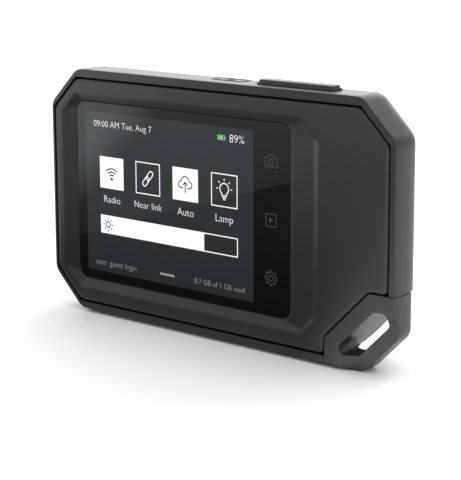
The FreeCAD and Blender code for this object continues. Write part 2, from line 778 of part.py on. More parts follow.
def usb_receptacle():
    """Build the receptacle shell with its contact tongue."""
    start = left + flap_thick + run_gap
    mouth = socket_form("receptacle_mouth", -socket_skin, start - 1, socket_length + 0.5)
    body = socket_form("receptacle_body", Size.of(0), start, socket_length)
    tongue = block("receptacle_tongue",
                   (start + 1.6, socket_y + socket_height / 2 - 0.35, socket_mid_z - 3.3),
                   (socket_length - 2, Size.of(0.7), Size.of(6.6)))
    node(fuse("usb_receptacle", cut("receptacle_shell", body, mouth), tongue))


# ---------------------------------------------------------------- rear cover and screen
def basin_outline(share):
    """Return the basin at a height: 0 at the glass, 1 at the rim plane."""
    lip = fit * (1 - share)
    x0 = glass_left - basin_left * share - lip
    x1 = glass_right + basin_right * share + lip
    z0 = glass_low - basin_bottom * share - lip
    z1 = glass_high + basin_top * share + lip
    leg = glass_round * (2 - ROOT_TWO) * (1 - share) + basin_leg * share
    return octagon(x0, z0, x1, z1, leg)


def knee_outline():
    """Return the basin part way up, drawn so that the grip slope is hollow."""
    corners = basin_outline(0.5)
    reach = glass_right + basin_right * 0.78
    shift = reach - corners[2][0]
    return [(x + shift, z) if 1 <= i <= 4 else (x, z) for i, (x, z) in enumerate(corners)]


def glass_rectangle(inset):
    """Return the cover glass outline drawn in all round."""
    return rectangle(glass_left + inset, glass_low + inset, glass_right - inset,
                     glass_high - inset)


def rear_cover():
    """Build the rear cover: a plate with the sloping basin and the screen window."""
    body = new_body("rear_cover_plate")
    radii = [4, 1.5, 3, 3, 1.5, 4, 4, 4, 4, 4]
    pad(body, "XZ", cover_outline(Size.of(0)), rim_y, cover_thick, radii)
    DOC.recompute()
    rim_line = [rim_y.value]
    dress(body, "Fillet", cover_edge,
          lambda e: all(abs(v.Point.y - rim_line[0]) < 1e-4 for v in e.Vertexes))
    sections = [
        (basin_outline(1), None, rim_y),
        (knee_outline(), None, rim_y + glass_recess * basin_knee),
        (basin_outline(0), None, glass_y),
    ]
    loft(body, "Subtractive", sections, ruled=True)
    pocket(body, "XZ", glass_rectangle(-fit), glass_y - 0.2, glass_thick + 0.2,
           glass_round + fit)
    pocket(body, "XZ", glass_rectangle(window_ledge), rim_y, cover_thick + 1,
           glass_round - window_ledge)
    thin = 1.7
    grip = rectangle(glass_right + basin_right + 1.5, bottom + boss_low_right + boss_radius + 1,
                     right - boss_inset - boss_radius - 0.5, top - rim_top - corner_leg)
    pocket(body, "XZ", grip, rim_y + cover_thick - thin, Size.of(thin + 1))
    posts = [rod("cover_post", "Y", (x, cover_back_y - 0.5, z), boss_radius,
                 boss_split_y - cover_back_y + 0.5) for x, z in boss_places()]
    pilots = [rod("cover_pilot", "Y", (x, cover_back_y - 0.8, z), pilot_radius,
                  boss_split_y - cover_back_y + 2) for x, z in boss_places()]
    node(cut("rear_cover", fuse("cover_with_posts", body, *posts), *pilots))


def housing_gasket():
    """Build the rubber ring that lies on the ledge under the cover."""
    body = new_body("housing_gasket")
    pad(body, "XZ", cover_outline(Size.of(0.2)), cover_back_y, gasket_thick)
    pocket(body, "XZ", cover_outline(gasket_width + 0.2), cover_back_y - 1, gasket_thick + 2)
    node(body)


def screen_layers():
    """Build the glass and what is bonded behind it."""
    glass = new_body("cover_glass")
    pad(glass, "XZ", glass_rectangle(Size.of(0)), glass_y, glass_thick, glass_round)
    node(glass)
    inset = window_ledge + fit
    film = prism("optical_adhesive", "XZ", glass_rectangle(inset), film_y, film_thick,
                 glass_round - inset)
    node(film)
    touch = prism("touch_sensor", "XZ", glass_rectangle(inset), touch_y, touch_thick,
                  glass_round - inset)
    node(touch)
    half_w, half_h = panel_width / 2, panel_height / 2
    start = cover_back_y
    panel = block("display_panel", (picture_x - half_w, start, screen_z - half_h),
                  (panel_width, panel_thick, panel_height))
    node(panel)
    around = frame_wall + fit
    outline = rectangle(picture_x - half_w - around, screen_z - half_h - around,
                        picture_x + half_w + around, screen_z + half_h + around)
    tray = prism("frame_tray", "XZ", outline, start, panel_thick + frame_back, frame_round)
    nest = block("frame_nest", (picture_x - half_w - fit, start - 1, screen_z - half_h - fit),
                 (panel_width + 2 * fit, panel_thick + 1, panel_height + 2 * fit))
    slot = block("frame_slot", (picture_x - flex_half, start, screen_z - half_h + 4),
                 (2 * flex_half, Size.of(9), Size.of(3)))
    node(cut("display_frame", tray, nest, slot))


flex_half = Size.of(9)


def display_flex():
    """Build the folded ribbon from the panel to its connector on the main board."""
    start = cover_back_y + panel_thick
    low = screen_z - panel_height / 2 + 5
    fold = low + 1
    foot = low - 2.6
    ribbon = [
        (start, low), (start + ribbon_thick, low), (start + ribbon_thick, fold),
        (ribbon_y, fold), (ribbon_y, foot), (ribbon_y + ribbon_thick, foot),
        (ribbon_y + ribbon_thick, fold + ribbon_thick), (start, fold + ribbon_thick),
    ]
    node(prism("display_flex", "YZ", ribbon, picture_x - flex_half + 1, 2 * flex_half - 2))
    plug = block("display_connector",
                 (picture_x - flex_half, ribbon_y + ribbon_thick, low - 2.8),
                 (2 * flex_half, mainboard_y - ribbon_y - ribbon_thick, Size.of(3)))
    node(plug)


ribbon_y = frame_y + frame_back + 0.3


# ---------------------------------------------------------------- lanyard corner
def slot_outline():
    """Return the lanyard slot: a strip along the corner with faceted ends."""
    near = loop_line + slot_offset * ROOT_TWO
    far = near + slot_width * ROOT_TWO
    start_x = right - arm_start
    side_x = right - slot_side
    end_z = bottom + arm_start
    return [
        (start_x, bottom + slot_floor), (bottom + slot_floor + far, bottom + slot_floor),
        (side_x, side_x - far), (side_x, end_z), (end_z + near, end_z),
        (start_x, start_x - near),
    ]


loop_line = right - loop_reach - loop_top
loop_screw_y = rim_y + 7


def loop_screw_places():
    """Return the heads of the two screws that hold the lanyard corner."""
    reach = (wall + seam_gap + screw_cap) / ROOT_TWO
    places = []
    for share in (0.25, 0.75):
        x = right - loop_reach + (loop_reach - loop_top) * share
        places.append((x - reach, x - loop_line + reach))
    return places


def lanyard_corner():
    """Build the lanyard corner: a slot through the loop and an arm set back from the rim."""
    near = loop_line + slot_offset * ROOT_TWO
    raw = common("loop_raw", outer_form("loop_form"), loop_zone("loop_body_zone", Size.of(0)))
    start_x = right - arm_start
    end_z = bottom + arm_start
    outside = 6
    scoop = new_body("arm_scoop")
    rim_edge = [
        (start_x, bottom - outside), (right + outside, bottom - outside),
        (right + outside, end_z + arm_ramp / 4), (end_z + arm_ramp / 4 + near, end_z + arm_ramp / 4),
        (start_x, start_x - near),
    ]
    floor_edge = [
        (start_x + arm_ramp, bottom - outside), (right + outside, bottom - outside),
        (right + outside, end_z - arm_ramp * 0.75),
        (end_z - arm_ramp * 0.75 + near, end_z - arm_ramp * 0.75),
        (start_x + arm_ramp, start_x + arm_ramp - near),
    ]
    loft(scoop, "Additive", [(rim_edge, None, rim_y), (floor_edge, None, rim_y + arm_setback)],
         ruled=True)
    slot = prism("lanyard_slot", "XZ", slot_outline(), rim_y - 1, housing_depth + 4, slot_round)
    back = [
        (near - 0.7 - outside, bottom - outside), (right + outside, bottom - outside),
        (right + outside, right + outside - near + 0.7),
    ]
    ear = prism("ear_cut", "XZ", back, rim_y + ear_depth, housing_depth)
    pilots = [rod("loop_pilot", "slant", (x, loop_screw_y, z), pilot_radius, loop_screw_reach)
              for x, z in loop_screw_places()]
    node(cut("lanyard_corner", raw, scoop, slot, ear, *pilots))


loop_screw_reach = Size.of(7.5)


# ---------------------------------------------------------------- top controls
def key_stem(name, middle_x):
    """Return the stem of a key with the flange that keeps it in and meets its plunger."""
    shaft = stem_prism(name + "_stem", middle_x, Size.of(0), stem_low, top - key_thick / 2)
    half = stem_width / 2 + 1
    flange = block(name + "_flange", (middle_x - half, stem_front, stem_low),
                   (2 * half, switch_y + plunger_radius - stem_front, stem_flange))
    return fuse(name + "_stem_whole", shaft, flange)


def top_keys():
    """Build the shutter bar and the power key, each on its stem."""
    base = bar_prism("bar_base_layer", Size.of(0), top - bar_sunk, bar_sunk + bar_base)
    crown = bar_prism("bar_crown", -bar_step, top + bar_base, bar_proud - bar_base)
    dress(crown, "Chamfer", Size.of(0.35),
          lambda e: all(abs(v.Point.z - (top + bar_proud).value) < 1e-4 for v in e.Vertexes))
    node(fuse("shutter_button", base, crown, key_stem("bar", bar_mid_x)))
    cap = common("key_cap", racetrack_prism("key_prism", Size.of(0), top - key_thick, Size.of(4)),
                 outer_form("key_form"))
    node(fuse("power_button", cap, key_stem("key", key_mid_x)))


def top_switches():
    """Build the button board with a tactile switch and plunger under each key."""
    node(block("button_board", (button_board_left, switch_y - 4, button_board_z),
               (button_board_right - button_board_left, Size.of(8.5), board_thick)))
    for name, x in (("shutter", bar_mid_x), ("power", key_mid_x)):
        half = switch_size / 2
        case = block(name + "_case", (x - half, switch_y - half, switch_z),
                     (switch_size, switch_size, switch_height))
        bore_z = switch_top - press_travel - 1
        bore = rod(name + "_bore", "Z", (x, switch_y, bore_z), plunger_radius + 0.05,
                   press_travel + 2)
        node(cut(name + "_switch", case, bore))
        plunger_z = switch_top - 0.8
        node(rod(name + "_plunger", "Z", (x, switch_y, plunger_z), plunger_radius,
                 plunger_show + 0.8))


# ---------------------------------------------------------------- boards, battery, chassis
board_left = left + 11.6
tab_left = left + flap_thick + 3.4
board_right = glass_right - 6
board_low = bottom + 10.5
board_high = button_board_z - 2.4


def standoffs():
    """Return the four board screw axes as (x, z)."""
    edge = 4
    return [(x, z) for x in (board_left + 7, board_right - edge)
            for z in (board_low + edge, board_high - edge)]


def electronics():
    """Build the main board, what sits on it and the chassis that carries it."""
    plate = new_body("main_board")
    pad(plate, "XZ", rectangle(board_left, board_low, board_right, board_high), mainboard_y,
        board_thick, 2)
    tab = block("board_tab", (tab_left, mainboard_y, socket_mid_z - 7),
                (board_left - tab_left + 2, board_thick, Size.of(14)))
    holes = [rod("board_hole", "Y", (x, mainboard_y - 1, z), screw_radius + fit, Size.of(4))
             for x, z in standoffs()]
    plate.Label = "board_plate"
    notch = socket_form("board_notch", Size.of(0), left + flap_thick, socket_length + run_gap)
    node(cut("main_board", fuse("board_blank", plate, tab), notch, *holes))
    node(block("shield_can", (picture_x - 16, chip_y, screen_z - 26),
               (shield_width, shield_thick, shield_height)))
    node(block("memory_chip", (picture_x + 12, chip_y, screen_z - 24),
               (memory_width, memory_thick, memory_height)))
    frame = new_body("chassis_plate")
    pad(frame, "XZ", rectangle(board_left + 2, board_low + 1, board_right, board_high - 1),
        chassis_y, board_thick, 3)
    feet = [rod("standoff", "Y", (x, chip_y, z), screw_radius + 1.2, chassis_y - chip_y)
            for x, z in standoffs()]
    taps = [rod("standoff_tap", "Y", (x, chip_y - 1, z), pilot_radius, Size.of(5))
            for x, z in standoffs()]
    node(cut("chassis", fuse("chassis_blank", frame, *feet), *taps))
    screws = []
    for x, z in standoffs():
        head = rod("board_screw_head", "Y", (x, mainboard_y - 0.7, z), screw_head, Size.of(0.7))
        shank = rod("board_screw_shank", "Y", (x, mainboard_y - 0.7, z), pilot_radius,
                    chassis_y + board_thick + 2.4 - mainboard_y)
        screws.append(fuse("board_screw", head, shank))
    node(group("board_screws", screws))


def battery():
    """Build the battery cell in the grip, its pad and tray, and its lead."""
    cell_x = right - boss_inset - boss_radius - fit - cell_width
    cell_z = bottom + loop_reach + seam_gap + wall + 0.8
    body = new_body("battery_cell")
    pad(body, "XZ", rectangle(cell_x, cell_z, cell_x + cell_width, cell_z + cell_height),
        cell_y, cell_thick, 2.5)
    node(body)
    pad_y = cell_y + cell_thick
    node(block("battery_pad", (cell_x + 2, pad_y, cell_z + 4),
               (cell_width - 8, pad_thick, cell_height - 8)))
    tray_y = pad_y + pad_thick
    plate = block("tray_plate", (cell_x + 1, tray_y, cell_z + 2),
                  (cell_width - 5, tray_thick, cell_height - 4))
    legs = [block("tray_leg", (x, tray_y, z), (Size.of(3), face_y - wall - tray_y, Size.of(5)))
            for x in (cell_x + 2, cell_x + 15) for z in (cell_z + 5, cell_z + cell_height - 12)]
    node(fuse("battery_tray", plate, *legs))
    plug_x = board_right - 4.5
    plug_z = cell_z + cell_height - 9
    node(block("battery_connector", (plug_x, chip_y, plug_z - 3),
               (Size.of(4), Size.of(1.4), Size.of(6))))
    node(block("battery_lead", (plug_x + 4, chip_y + 0.3, plug_z - 2),
               (cell_x - plug_x - 4, Size.of(0.9), Size.of(4))))


cell_y = cover_back_y + gasket_thick


def case_screws():
    """Build the four case screws, driven from the lens side."""
    screws = []
    for x, z in boss_places():
        head = rod("case_screw_head", "Y", (x, head_seat_y, z), screw_head, screw_cap)
        socket = rod("case_screw_socket", "Y", (x, head_seat_y + screw_cap - 0.8, z),
                     screw_head * 0.45, Size.of(1))
        shank_y = cover_back_y + 0.6
        shank = rod("case_screw_shank", "Y", (x, shank_y, z), pilot_radius,
                    head_seat_y - shank_y)
        screws.append(cut("case_screw", fuse("case_screw_blank", head, shank), socket))
    node(group("housing_screws", screws))
    holders = []
    for x, z in loop_screw_places():
        head = rod("loop_screw_head", "slant", (x, loop_screw_y, z), screw_head, screw_cap)
        shank = rod("loop_screw_shank", "slant", (x, loop_screw_y, z), pilot_radius,
                    loop_screw_reach - 0.3)
        holders.append(fuse("loop_screw", head, shank))
    node(group("lanyard_screws", holders))


def tripod_insert():
    """Build the brass insert with the bore of a 1/4-20 thread."""
    start = (Size.of(0), rim_y + tripod_y, bottom + 0.3)
    outer = rod("insert_outer", "Z", start, tripod_outer, tripod_length - 0.3)
    bore = rod("insert_bore", "Z", (start[0], start[1], bottom - 1), tripod_radius,
               tripod_length + 2)
    node(cut("tripod_insert", outer, bore))


# ---------------------------------------------------------------- optics
sensor_y = core_y + thin_board
chamber_y = sensor_y
chamber_top_y = face_y - wall - 1.9
barrel_y = chamber_top_y
flag_y = sensor_y + sensor_thick + 0.5
pivot_x = lens_x - flag_arm_x
pivot_z = optics_z - flag_arm_z


def thermal_core():
    """Build the thermal core: sensor, calibration flag, housing and lens barrel."""
    x0, x1 = lens_x - chamber_left, lens_x + chamber_right
    z0, z1 = optics_z - chamber_low, optics_z + chamber_right
    node(block("sensor_board", (x0 - chamber_wall, core_y, z0 - chamber_wall),
               (x1 - x0 + 2 * chamber_wall, thin_board, z1 - z0 + 2 * chamber_wall)))
    half = sensor_size / 2
    node(block("thermal_sensor", (lens_x - half, sensor_y, optics_z - half),
               (sensor_size, sensor_thick, sensor_size)))
    outer = block("core_outer", (x0 - chamber_wall, chamber_y, z0 - chamber_wall),
                  (x1 - x0 + 2 * chamber_wall, chamber_top_y - chamber_y,
                   z1 - z0 + 2 * chamber_wall))
    chamber = block("core_chamber", (x0, chamber_y - 1, z0),
                    (x1 - x0, chamber_top_y - chamber_y, z1 - z0))
    window = rod("core_window", "Y", (lens_x, chamber_y, optics_z), throat_radius,
                 housing_depth)
    node(cut("core_housing", outer, chamber, window))
    tube = rod("barrel_tube", "Y", (lens_x, barrel_y, optics_z), barrel_radius, barrel_length)
    throat = rod("barrel_throat", "Y", (lens_x, barrel_y - 1, optics_z), throat_radius,
                 housing_depth)
    lens_seat_y = barrel_y + barrel_length - lens_thick - retainer_thick
    seat = rod("barrel_seat", "Y", (lens_x, lens_seat_y, optics_z), lens_radius + 0.03,
               housing_depth)
    node(cut("lens_barrel", tube, throat, seat))
    node(rod("thermal_lens", "Y", (lens_x, lens_seat_y, optics_z), lens_radius, lens_thick))
    ring_y = lens_seat_y + lens_thick
    ring = rod("retainer_ring", "Y", (lens_x, ring_y, optics_z), lens_radius, retainer_thick)
    hole = rod("retainer_hole", "Y", (lens_x, ring_y - 1, optics_z), retainer_radius,
               retainer_thick + 2)
    node(cut("lens_retainer", ring, hole))
    seal_out = rod("seal_outer", "Y", (lens_x, face_y - wall + 0.5, optics_z),
                   barrel_radius + run_gap, Size.of(1.1))
    seal_in = rod("seal_inner", "Y", (lens_x, face_y - wall, optics_z), barrel_radius,
                  Size.of(3))
    node(cut("lens_seal", seal_out, seal_in))


def calibration_flag():
    """Build the flag on its motor: a paddle parked beside the sensor's view."""
    closed = math.atan2(flag_arm_z.value, flag_arm_x.value)
    parked = closed + math.radians(flag_park.value)
    reach = math.hypot(flag_arm_x.value, flag_arm_z.value)
    paddle_x = pivot_x + reach * math.cos(parked)
    paddle_z = pivot_z + reach * math.sin(parked)
    paddle = rod("flag_paddle", "Y", (paddle_x, flag_y, paddle_z), flag_radius - 0.2, flag_thick)
    arm = DOC.addObject("Part::Box", "Box")
    arm.Label = "flag_arm"
    bind(arm, "Length", reach - 2)
    bind(arm, "Width", flag_thick)
    arm.Height = 2
    arm.Placement = FreeCAD.Placement(Vector(), FreeCAD.Rotation(Vector(0, 1, 0),
                                                                 -math.degrees(parked)))
    move_to(arm, pivot_x + math.sin(parked), flag_y, pivot_z - math.cos(parked))
    hub = rod("flag_hub", "Y", (pivot_x, flag_y, pivot_z), Size.of(1.6), flag_thick + 0.5)
    bore = rod("flag_bore", "Y", (pivot_x, flag_y - 1, pivot_z), Size.of(0.55), Size.of(4))
    node(cut("calibration_flag", fuse("flag_blank", paddle, arm, hub), bore))
    case_y = sensor_y
    case = rod("motor_case", "Y", (pivot_x, case_y, pivot_z), motor_radius,
               flag_y - case_y - 0.1)
    shaft = rod("motor_shaft", "Y", (pivot_x, case_y, pivot_z), Size.of(0.5),
                flag_y - case_y + flag_thick + 0.4)
    node(fuse("flag_motor", case, shaft))


def camera_and_lamp():
    """Build the visible camera, the lamp and the bracket that carries them."""
    half = 6
    node(block("sensor_bracket", (camera_x - half, core_y, optics_z - half),
               (lamp_x - camera_x + 2 * half, bracket_thick, Size.of(2 * half))))
    stand_y = core_y + bracket_thick
    inner_y = face_y - wall
    body = block("camera_block", (camera_x - module_width / 2, stand_y,
                                  optics_z - module_width / 2),
                 (module_width, inner_y - stand_y - 0.3, module_width))
    snout = rod("camera_snout", "Y", (camera_x, stand_y, optics_z), small_hole - 0.3,
                inner_y - stand_y + 1.2)
    node(fuse("camera_module", body, snout))
    for name, width, start, thick in (
            ("lamp_board", lamp_board_width, stand_y, thin_board),
            ("lamp_led", led_width, stand_y + thin_board, led_thick)):
        node(block(name, (lamp_x - width / 2, start, optics_z - width / 2),
                   (width, thick, width)))
    for name, x in (("camera_window", camera_x), ("lamp_lens", lamp_x)):
        node(rod(name, "Y", (x, face_y + plate_proud - window_thick, optics_z),
                 window_radius - 0.05, window_thick))


def optics_plate():
    """Build the plate round the lens, the camera window and the lamp."""
    body = new_body("optics_plate_blank")
    outline = rectangle(lens_x - plate_left, optics_z - plate_half, lamp_x + plate_right,
                        optics_z + plate_half)
    pad(body, "XZ", outline, face_y, plate_proud, plate_round)
    far = (face_y + plate_proud).value
    dress(body, "Chamfer", plate_bevel,
          lambda e: all(abs(v.Point.y - far) < 1e-4 for v in e.Vertexes))
    holes = [rod("lens_hole", "Y", (lens_x, face_y - 1, optics_z), barrel_radius + run_gap,
                 Size.of(6))]
    for x in (camera_x, lamp_x):
        holes.append(rod("small_plate_hole", "Y", (x, face_y - 1, optics_z), small_hole,
                         Size.of(6)))
        holes.append(rod("window_seat", "Y", (x, face_y + plate_proud - window_thick, optics_z),
                         window_radius, Size.of(4)))
    node(cut("optics_plate", body, *holes))


def antenna():
    """Build the antenna strip under the top wall."""
    node(block("antenna", (left + 20, seat_y + ledge + 0.6, top_inner - antenna_thick),
               (antenna_width, antenna_depth, antenna_thick)))


# ---------------------------------------------------------------- build, check, write
def build():
    """Build every sub-part."""
    front_housing()
    rear_cover()
    housing_gasket()
    lanyard_corner()
    screen_layers()
    display_flex()
    top_keys()
    top_switches()
    usb_flap()
    usb_receptacle()
    electronics()
    battery()
    case_screws()
    tripod_insert()
    thermal_core()
    calibration_flag()
    camera_and_lamp()
    optics_plate()
    antenna()
    DOC.recompute()


def write():
    """Check every object and sub-part, then write one STEP file each."""
    for item in DOC.Objects:
        if "Invalid" in item.State or "Error" in item.State:
            raise RuntimeError("%s (%s) failed: %s" % (item.Label, item.Name, item.State))
    for piece in NODES:
        if piece.Shape.isNull() or not piece.Shape.isValid():
            raise RuntimeError("%s has no valid shape" % piece.Label)
    for piece in NODES:
        piece.Shape.exportStep("parts/%s.step" % piece.Label)


build()
write()
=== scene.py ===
"""Looks of the pocket thermal camera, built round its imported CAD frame."""
import logging
import math
from dataclasses import dataclass, field
from enum import Enum
from typing import Optional, Sequence

import bmesh
import bpy
from mathutils import Matrix, Vector


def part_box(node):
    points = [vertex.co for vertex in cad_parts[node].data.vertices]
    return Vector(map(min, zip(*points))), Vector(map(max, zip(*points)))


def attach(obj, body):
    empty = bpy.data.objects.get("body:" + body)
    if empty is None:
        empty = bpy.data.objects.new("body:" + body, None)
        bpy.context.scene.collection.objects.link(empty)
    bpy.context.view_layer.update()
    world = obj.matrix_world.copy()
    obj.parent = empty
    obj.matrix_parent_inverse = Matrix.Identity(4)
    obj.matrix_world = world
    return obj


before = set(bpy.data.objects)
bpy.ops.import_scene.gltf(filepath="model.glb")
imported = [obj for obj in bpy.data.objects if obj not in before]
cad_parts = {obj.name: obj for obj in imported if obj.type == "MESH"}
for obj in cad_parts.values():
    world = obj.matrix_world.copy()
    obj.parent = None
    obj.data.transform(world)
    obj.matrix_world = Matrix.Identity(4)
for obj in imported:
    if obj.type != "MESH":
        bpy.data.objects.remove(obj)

LOG = logging.getLogger("thermal_camera")
MM = 0.001
SMEAR_SCALE = 90.0
SMEAR_DETAIL = 5.0
SMEAR_STRETCH = (1.0, 1.0, 0.35)
Colour = tuple[float, float, float]
Place = tuple[float, float, float]
Point = tuple[float, float]
Span = tuple[float, float]


# ------------------------------------------------------------------ node trees
@dataclass
class NodeTree:
    """A node tree with short ways to add and join nodes."""

    tree: bpy.types.NodeTree

    def add(self, kind: str, **settings: object) -> bpy.types.Node:
        """Add a node.

        Args:
            kind: the node type without its ShaderNode prefix.
            settings: properties of the node by name.

        Returns:
            The new node.
        """
        node = self.tree.nodes.new("ShaderNode" + kind)
        for name, value in settings.items():
            setattr(node, name, value)
        return node

    def feed(self, socket: bpy.types.NodeSocket, source: object) -> None:
        """Join a socket to another one, or set its value.

        Args:
            socket: the input that is fed.
            source: an output socket, a number or a colour.
        """
        if isinstance(source, bpy.types.NodeSocket):
            self.tree.links.new(source, socket)
        else:
            socket.default_value = source

    def math(self, operation: str, first: object, second: object = 0.0,
             clamp: bool = False) -> bpy.types.NodeSocket:
        """Work out a number.

        Args:
            operation: the name of the sum in Blender's Math node.
            first: the first number or socket.
            second: the second number or socket.
            clamp: keep the result between 0 and 1.

        Returns:
            The socket of the result.
        """
        node = self.add("Math", operation=operation, use_clamp=clamp)
        self.feed(node.inputs[0], first)
        self.feed(node.inputs[1], second)
        return node.outputs[0]

    def spread(self, value: object, low: float, high: float) -> bpy.types.NodeSocket:
        """Stretch a value from 0..1 to low..high.

        Args:
            value: the socket to stretch.
            low: the result at 0.
            high: the result at 1.

        Returns:
            The socket of the result.
        """
        node = self.add("MapRange")
        self.feed(node.inputs["Value"], value)
        node.inputs["To Min"].default_value = low
        node.inputs["To Max"].default_value = high
        return node.outputs["Result"]

    def blend(self, factor: object, first: object, second: object) -> bpy.types.NodeSocket:
        """Mix two colours.

        Args:
            factor: how much of the second colour.
            first: the first colour.
            second: the second colour.

        Returns:
            The socket of the mixed colour.
        """
        node = self.add("Mix", data_type="RGBA")
        self.feed(node.inputs["Factor"], factor)
        self.feed(node.inputs["A"], opaque(first))
        self.feed(node.inputs["B"], opaque(second))
        for socket in node.outputs:
            if socket.type == "RGBA":
                return socket
        raise ValueError("the mix has no colour output")

    def noise(self, scale: object, detail: float = 3.0, stretch: Optional[Place] = None
              ) -> bpy.types.NodeSocket:
        """Add noise in the part's own frame.

        Args:
            scale: features per metre.
            detail: octaves of the noise.
            stretch: factors along X, Y and Z, or None.

        Returns:
            The socket of the noise value.
        """
        place = self.add("TexCoord").outputs["Object"]
        if stretch is not None:
            mapping = self.add("Mapping")
            mapping.inputs["Scale"].default_value = stretch
            self.feed(mapping.inputs["Vector"], place)
            place = mapping.outputs["Vector"]
        node = self.add("TexNoise")
        self.feed(node.inputs["Vector"], place)
        self.feed(node.inputs["Scale"], scale)
        node.inputs["Detail"].default_value = detail
        return node.outputs["Fac"]


def opaque(colour: object) -> object:
    """Give a colour its alpha.

    Args:
        colour: a colour, a number or a socket.

    Returns:
        The colour with its alpha, and anything else as it is.
    """
    if isinstance(colour, tuple) and len(colour) == 3:
        return (*colour, 1.0)
    return colour


class Effect(Enum):
    """The shader node groups that more than one finish uses."""

    SOFT_EDGE = "soft_edge"
    EDGE_WEAR = "edge_wear"
    MOULD_GRAIN = "mould_grain"
    BRUSHING = "brushing"


class EffectLibrary:
    """Builds each shared node group once and places it in materials.

    PATCHY is the range of the rubbed patches. FINER, SLOWER and CLOUDS say how much finer
    or broader than the group's own scale a second noise is.
    """

    BEVEL_SAMPLES = 6
    PATCHY = (-0.4, 1.6)
    FINER = 2.7
    SLOWER = 0.02
    CLOUDS = 0.05
    MARK_STRETCH = (0.04, 1.0, 1.0)

    def __init__(self) -> None:
        """Start with no group built."""
        self.groups: dict[Effect, bpy.types.NodeTree] = {}

    def place(self, tree: NodeTree, effect: Effect, **values: object) -> bpy.types.Node:
        """Put a group in a material.

        Args:
            tree: the material's nodes.
            effect: which group.
            values: the group's inputs by name.

        Returns:
            The group node.
        """
        if effect not in self.groups:
            self.groups[effect] = getattr(self, "build_" + effect.value)()
        node = tree.tree.nodes.new("ShaderNodeGroup")
        node.node_tree = self.groups[effect]
        for name, value in values.items():
            tree.feed(node.inputs[name], value)
        return node

    @staticmethod
    def start(name: str, inputs: Sequence[str], outputs: dict[str, str]
              ) -> tuple[NodeTree, dict, bpy.types.Node]:
        """Start a group with named sockets.

        Args:
            name: the group's name.
            inputs: names of its numbers.
            outputs: names and socket types of what it puts out.

        Returns:
            The group's nodes, its inputs by name and its output node.
        """
        tree = bpy.data.node_groups.new(name, "ShaderNodeTree")
        for label in inputs:
            tree.interface.new_socket(label, in_out="INPUT", socket_type="NodeSocketFloat")
        for label, kind in outputs.items():
            tree.interface.new_socket(label, in_out="OUTPUT", socket_type=kind)
        given = tree.nodes.new("NodeGroupInput")
        result = tree.nodes.new("NodeGroupOutput")
        return NodeTree(tree), {label: given.outputs[label] for label in inputs}, result

    def build_soft_edge(self) -> bpy.types.NodeTree:
        """Build the group that rounds a sharp edge in the light.

        Returns:
            The group's node tree.
        """
        nodes, given, result = self.start("soft_edge", ["Radius"],
                                          {"Normal": "NodeSocketVector"})
        bevel = nodes.add("Bevel", samples=self.BEVEL_SAMPLES)
        nodes.feed(bevel.inputs["Radius"], given["Radius"])
        nodes.feed(result.inputs["Normal"], bevel.outputs["Normal"])
        return nodes.tree

    def build_edge_wear(self) -> bpy.types.NodeTree:
        """Build the group that finds rubbed edges.

        Returns:
            The group's node tree.
        """
        nodes, given, result = self.start("edge_wear", ["Radius", "Gain", "Scale"],
                                          {"Mask": "NodeSocketFloat"})
        bevel = nodes.add("Bevel", samples=self.BEVEL_SAMPLES)
        nodes.feed(bevel.inputs["Radius"], given["Radius"])
        facing = nodes.add("VectorMath", operation="DOT_PRODUCT")
        nodes.feed(facing.inputs[0], bevel.outputs["Normal"])
        nodes.feed(facing.inputs[1], nodes.add("NewGeometry").outputs["Normal"])
        bend = nodes.math("SUBTRACT", 1.0, facing.outputs["Value"], clamp=True)
        rub = nodes.math("MULTIPLY", bend, given["Gain"], clamp=True)
        patches = nodes.spread(nodes.noise(given["Scale"]), *self.PATCHY)
        nodes.feed(result.inputs["Mask"], nodes.math("MULTIPLY", rub, patches, clamp=True))
        return nodes.tree

    def build_mould_grain(self) -> bpy.types.NodeTree:
        """Build the group of a spark-eroded mould's fine texture.

        Returns:
            The group's node tree.
        """
        nodes, given, result = self.start(
            "mould_grain", ["Scale"], {"Height": "NodeSocketFloat", "Shade": "NodeSocketFloat"})
        coarse = nodes.noise(given["Scale"], 4.0)
        fine = nodes.noise(nodes.math("MULTIPLY", given["Scale"], self.FINER), 2.0)
        height = nodes.math("ADD", coarse, nodes.math("MULTIPLY", fine, 0.5))
        slow = nodes.noise(nodes.math("MULTIPLY", given["Scale"], self.SLOWER), 2.0)
        nodes.feed(result.inputs["Height"], height)
        nodes.feed(result.inputs["Shade"],
                   nodes.math("ADD", nodes.math("MULTIPLY", coarse, 0.5),
                              nodes.math("MULTIPLY", slow, 0.5)))
        return nodes.tree

    def build_brushing(self) -> bpy.types.NodeTree:
        """Build the group of long fine tool marks on metal.

        Returns:
            The group's node tree.
        """
        nodes, given, result = self.start(
            "brushing", ["Scale"], {"Height": "NodeSocketFloat", "Shade": "NodeSocketFloat"})
        marks = nodes.noise(given["Scale"], 3.0, stretch=self.MARK_STRETCH)
        cloud = nodes.noise(nodes.math("MULTIPLY", given["Scale"], self.CLOUDS), 2.0)
        nodes.feed(result.inputs["Height"], marks)
        nodes.feed(result.inputs["Shade"],
                   nodes.math("MULTIPLY", nodes.math("ADD", marks, cloud), 0.5))
        return nodes.tree


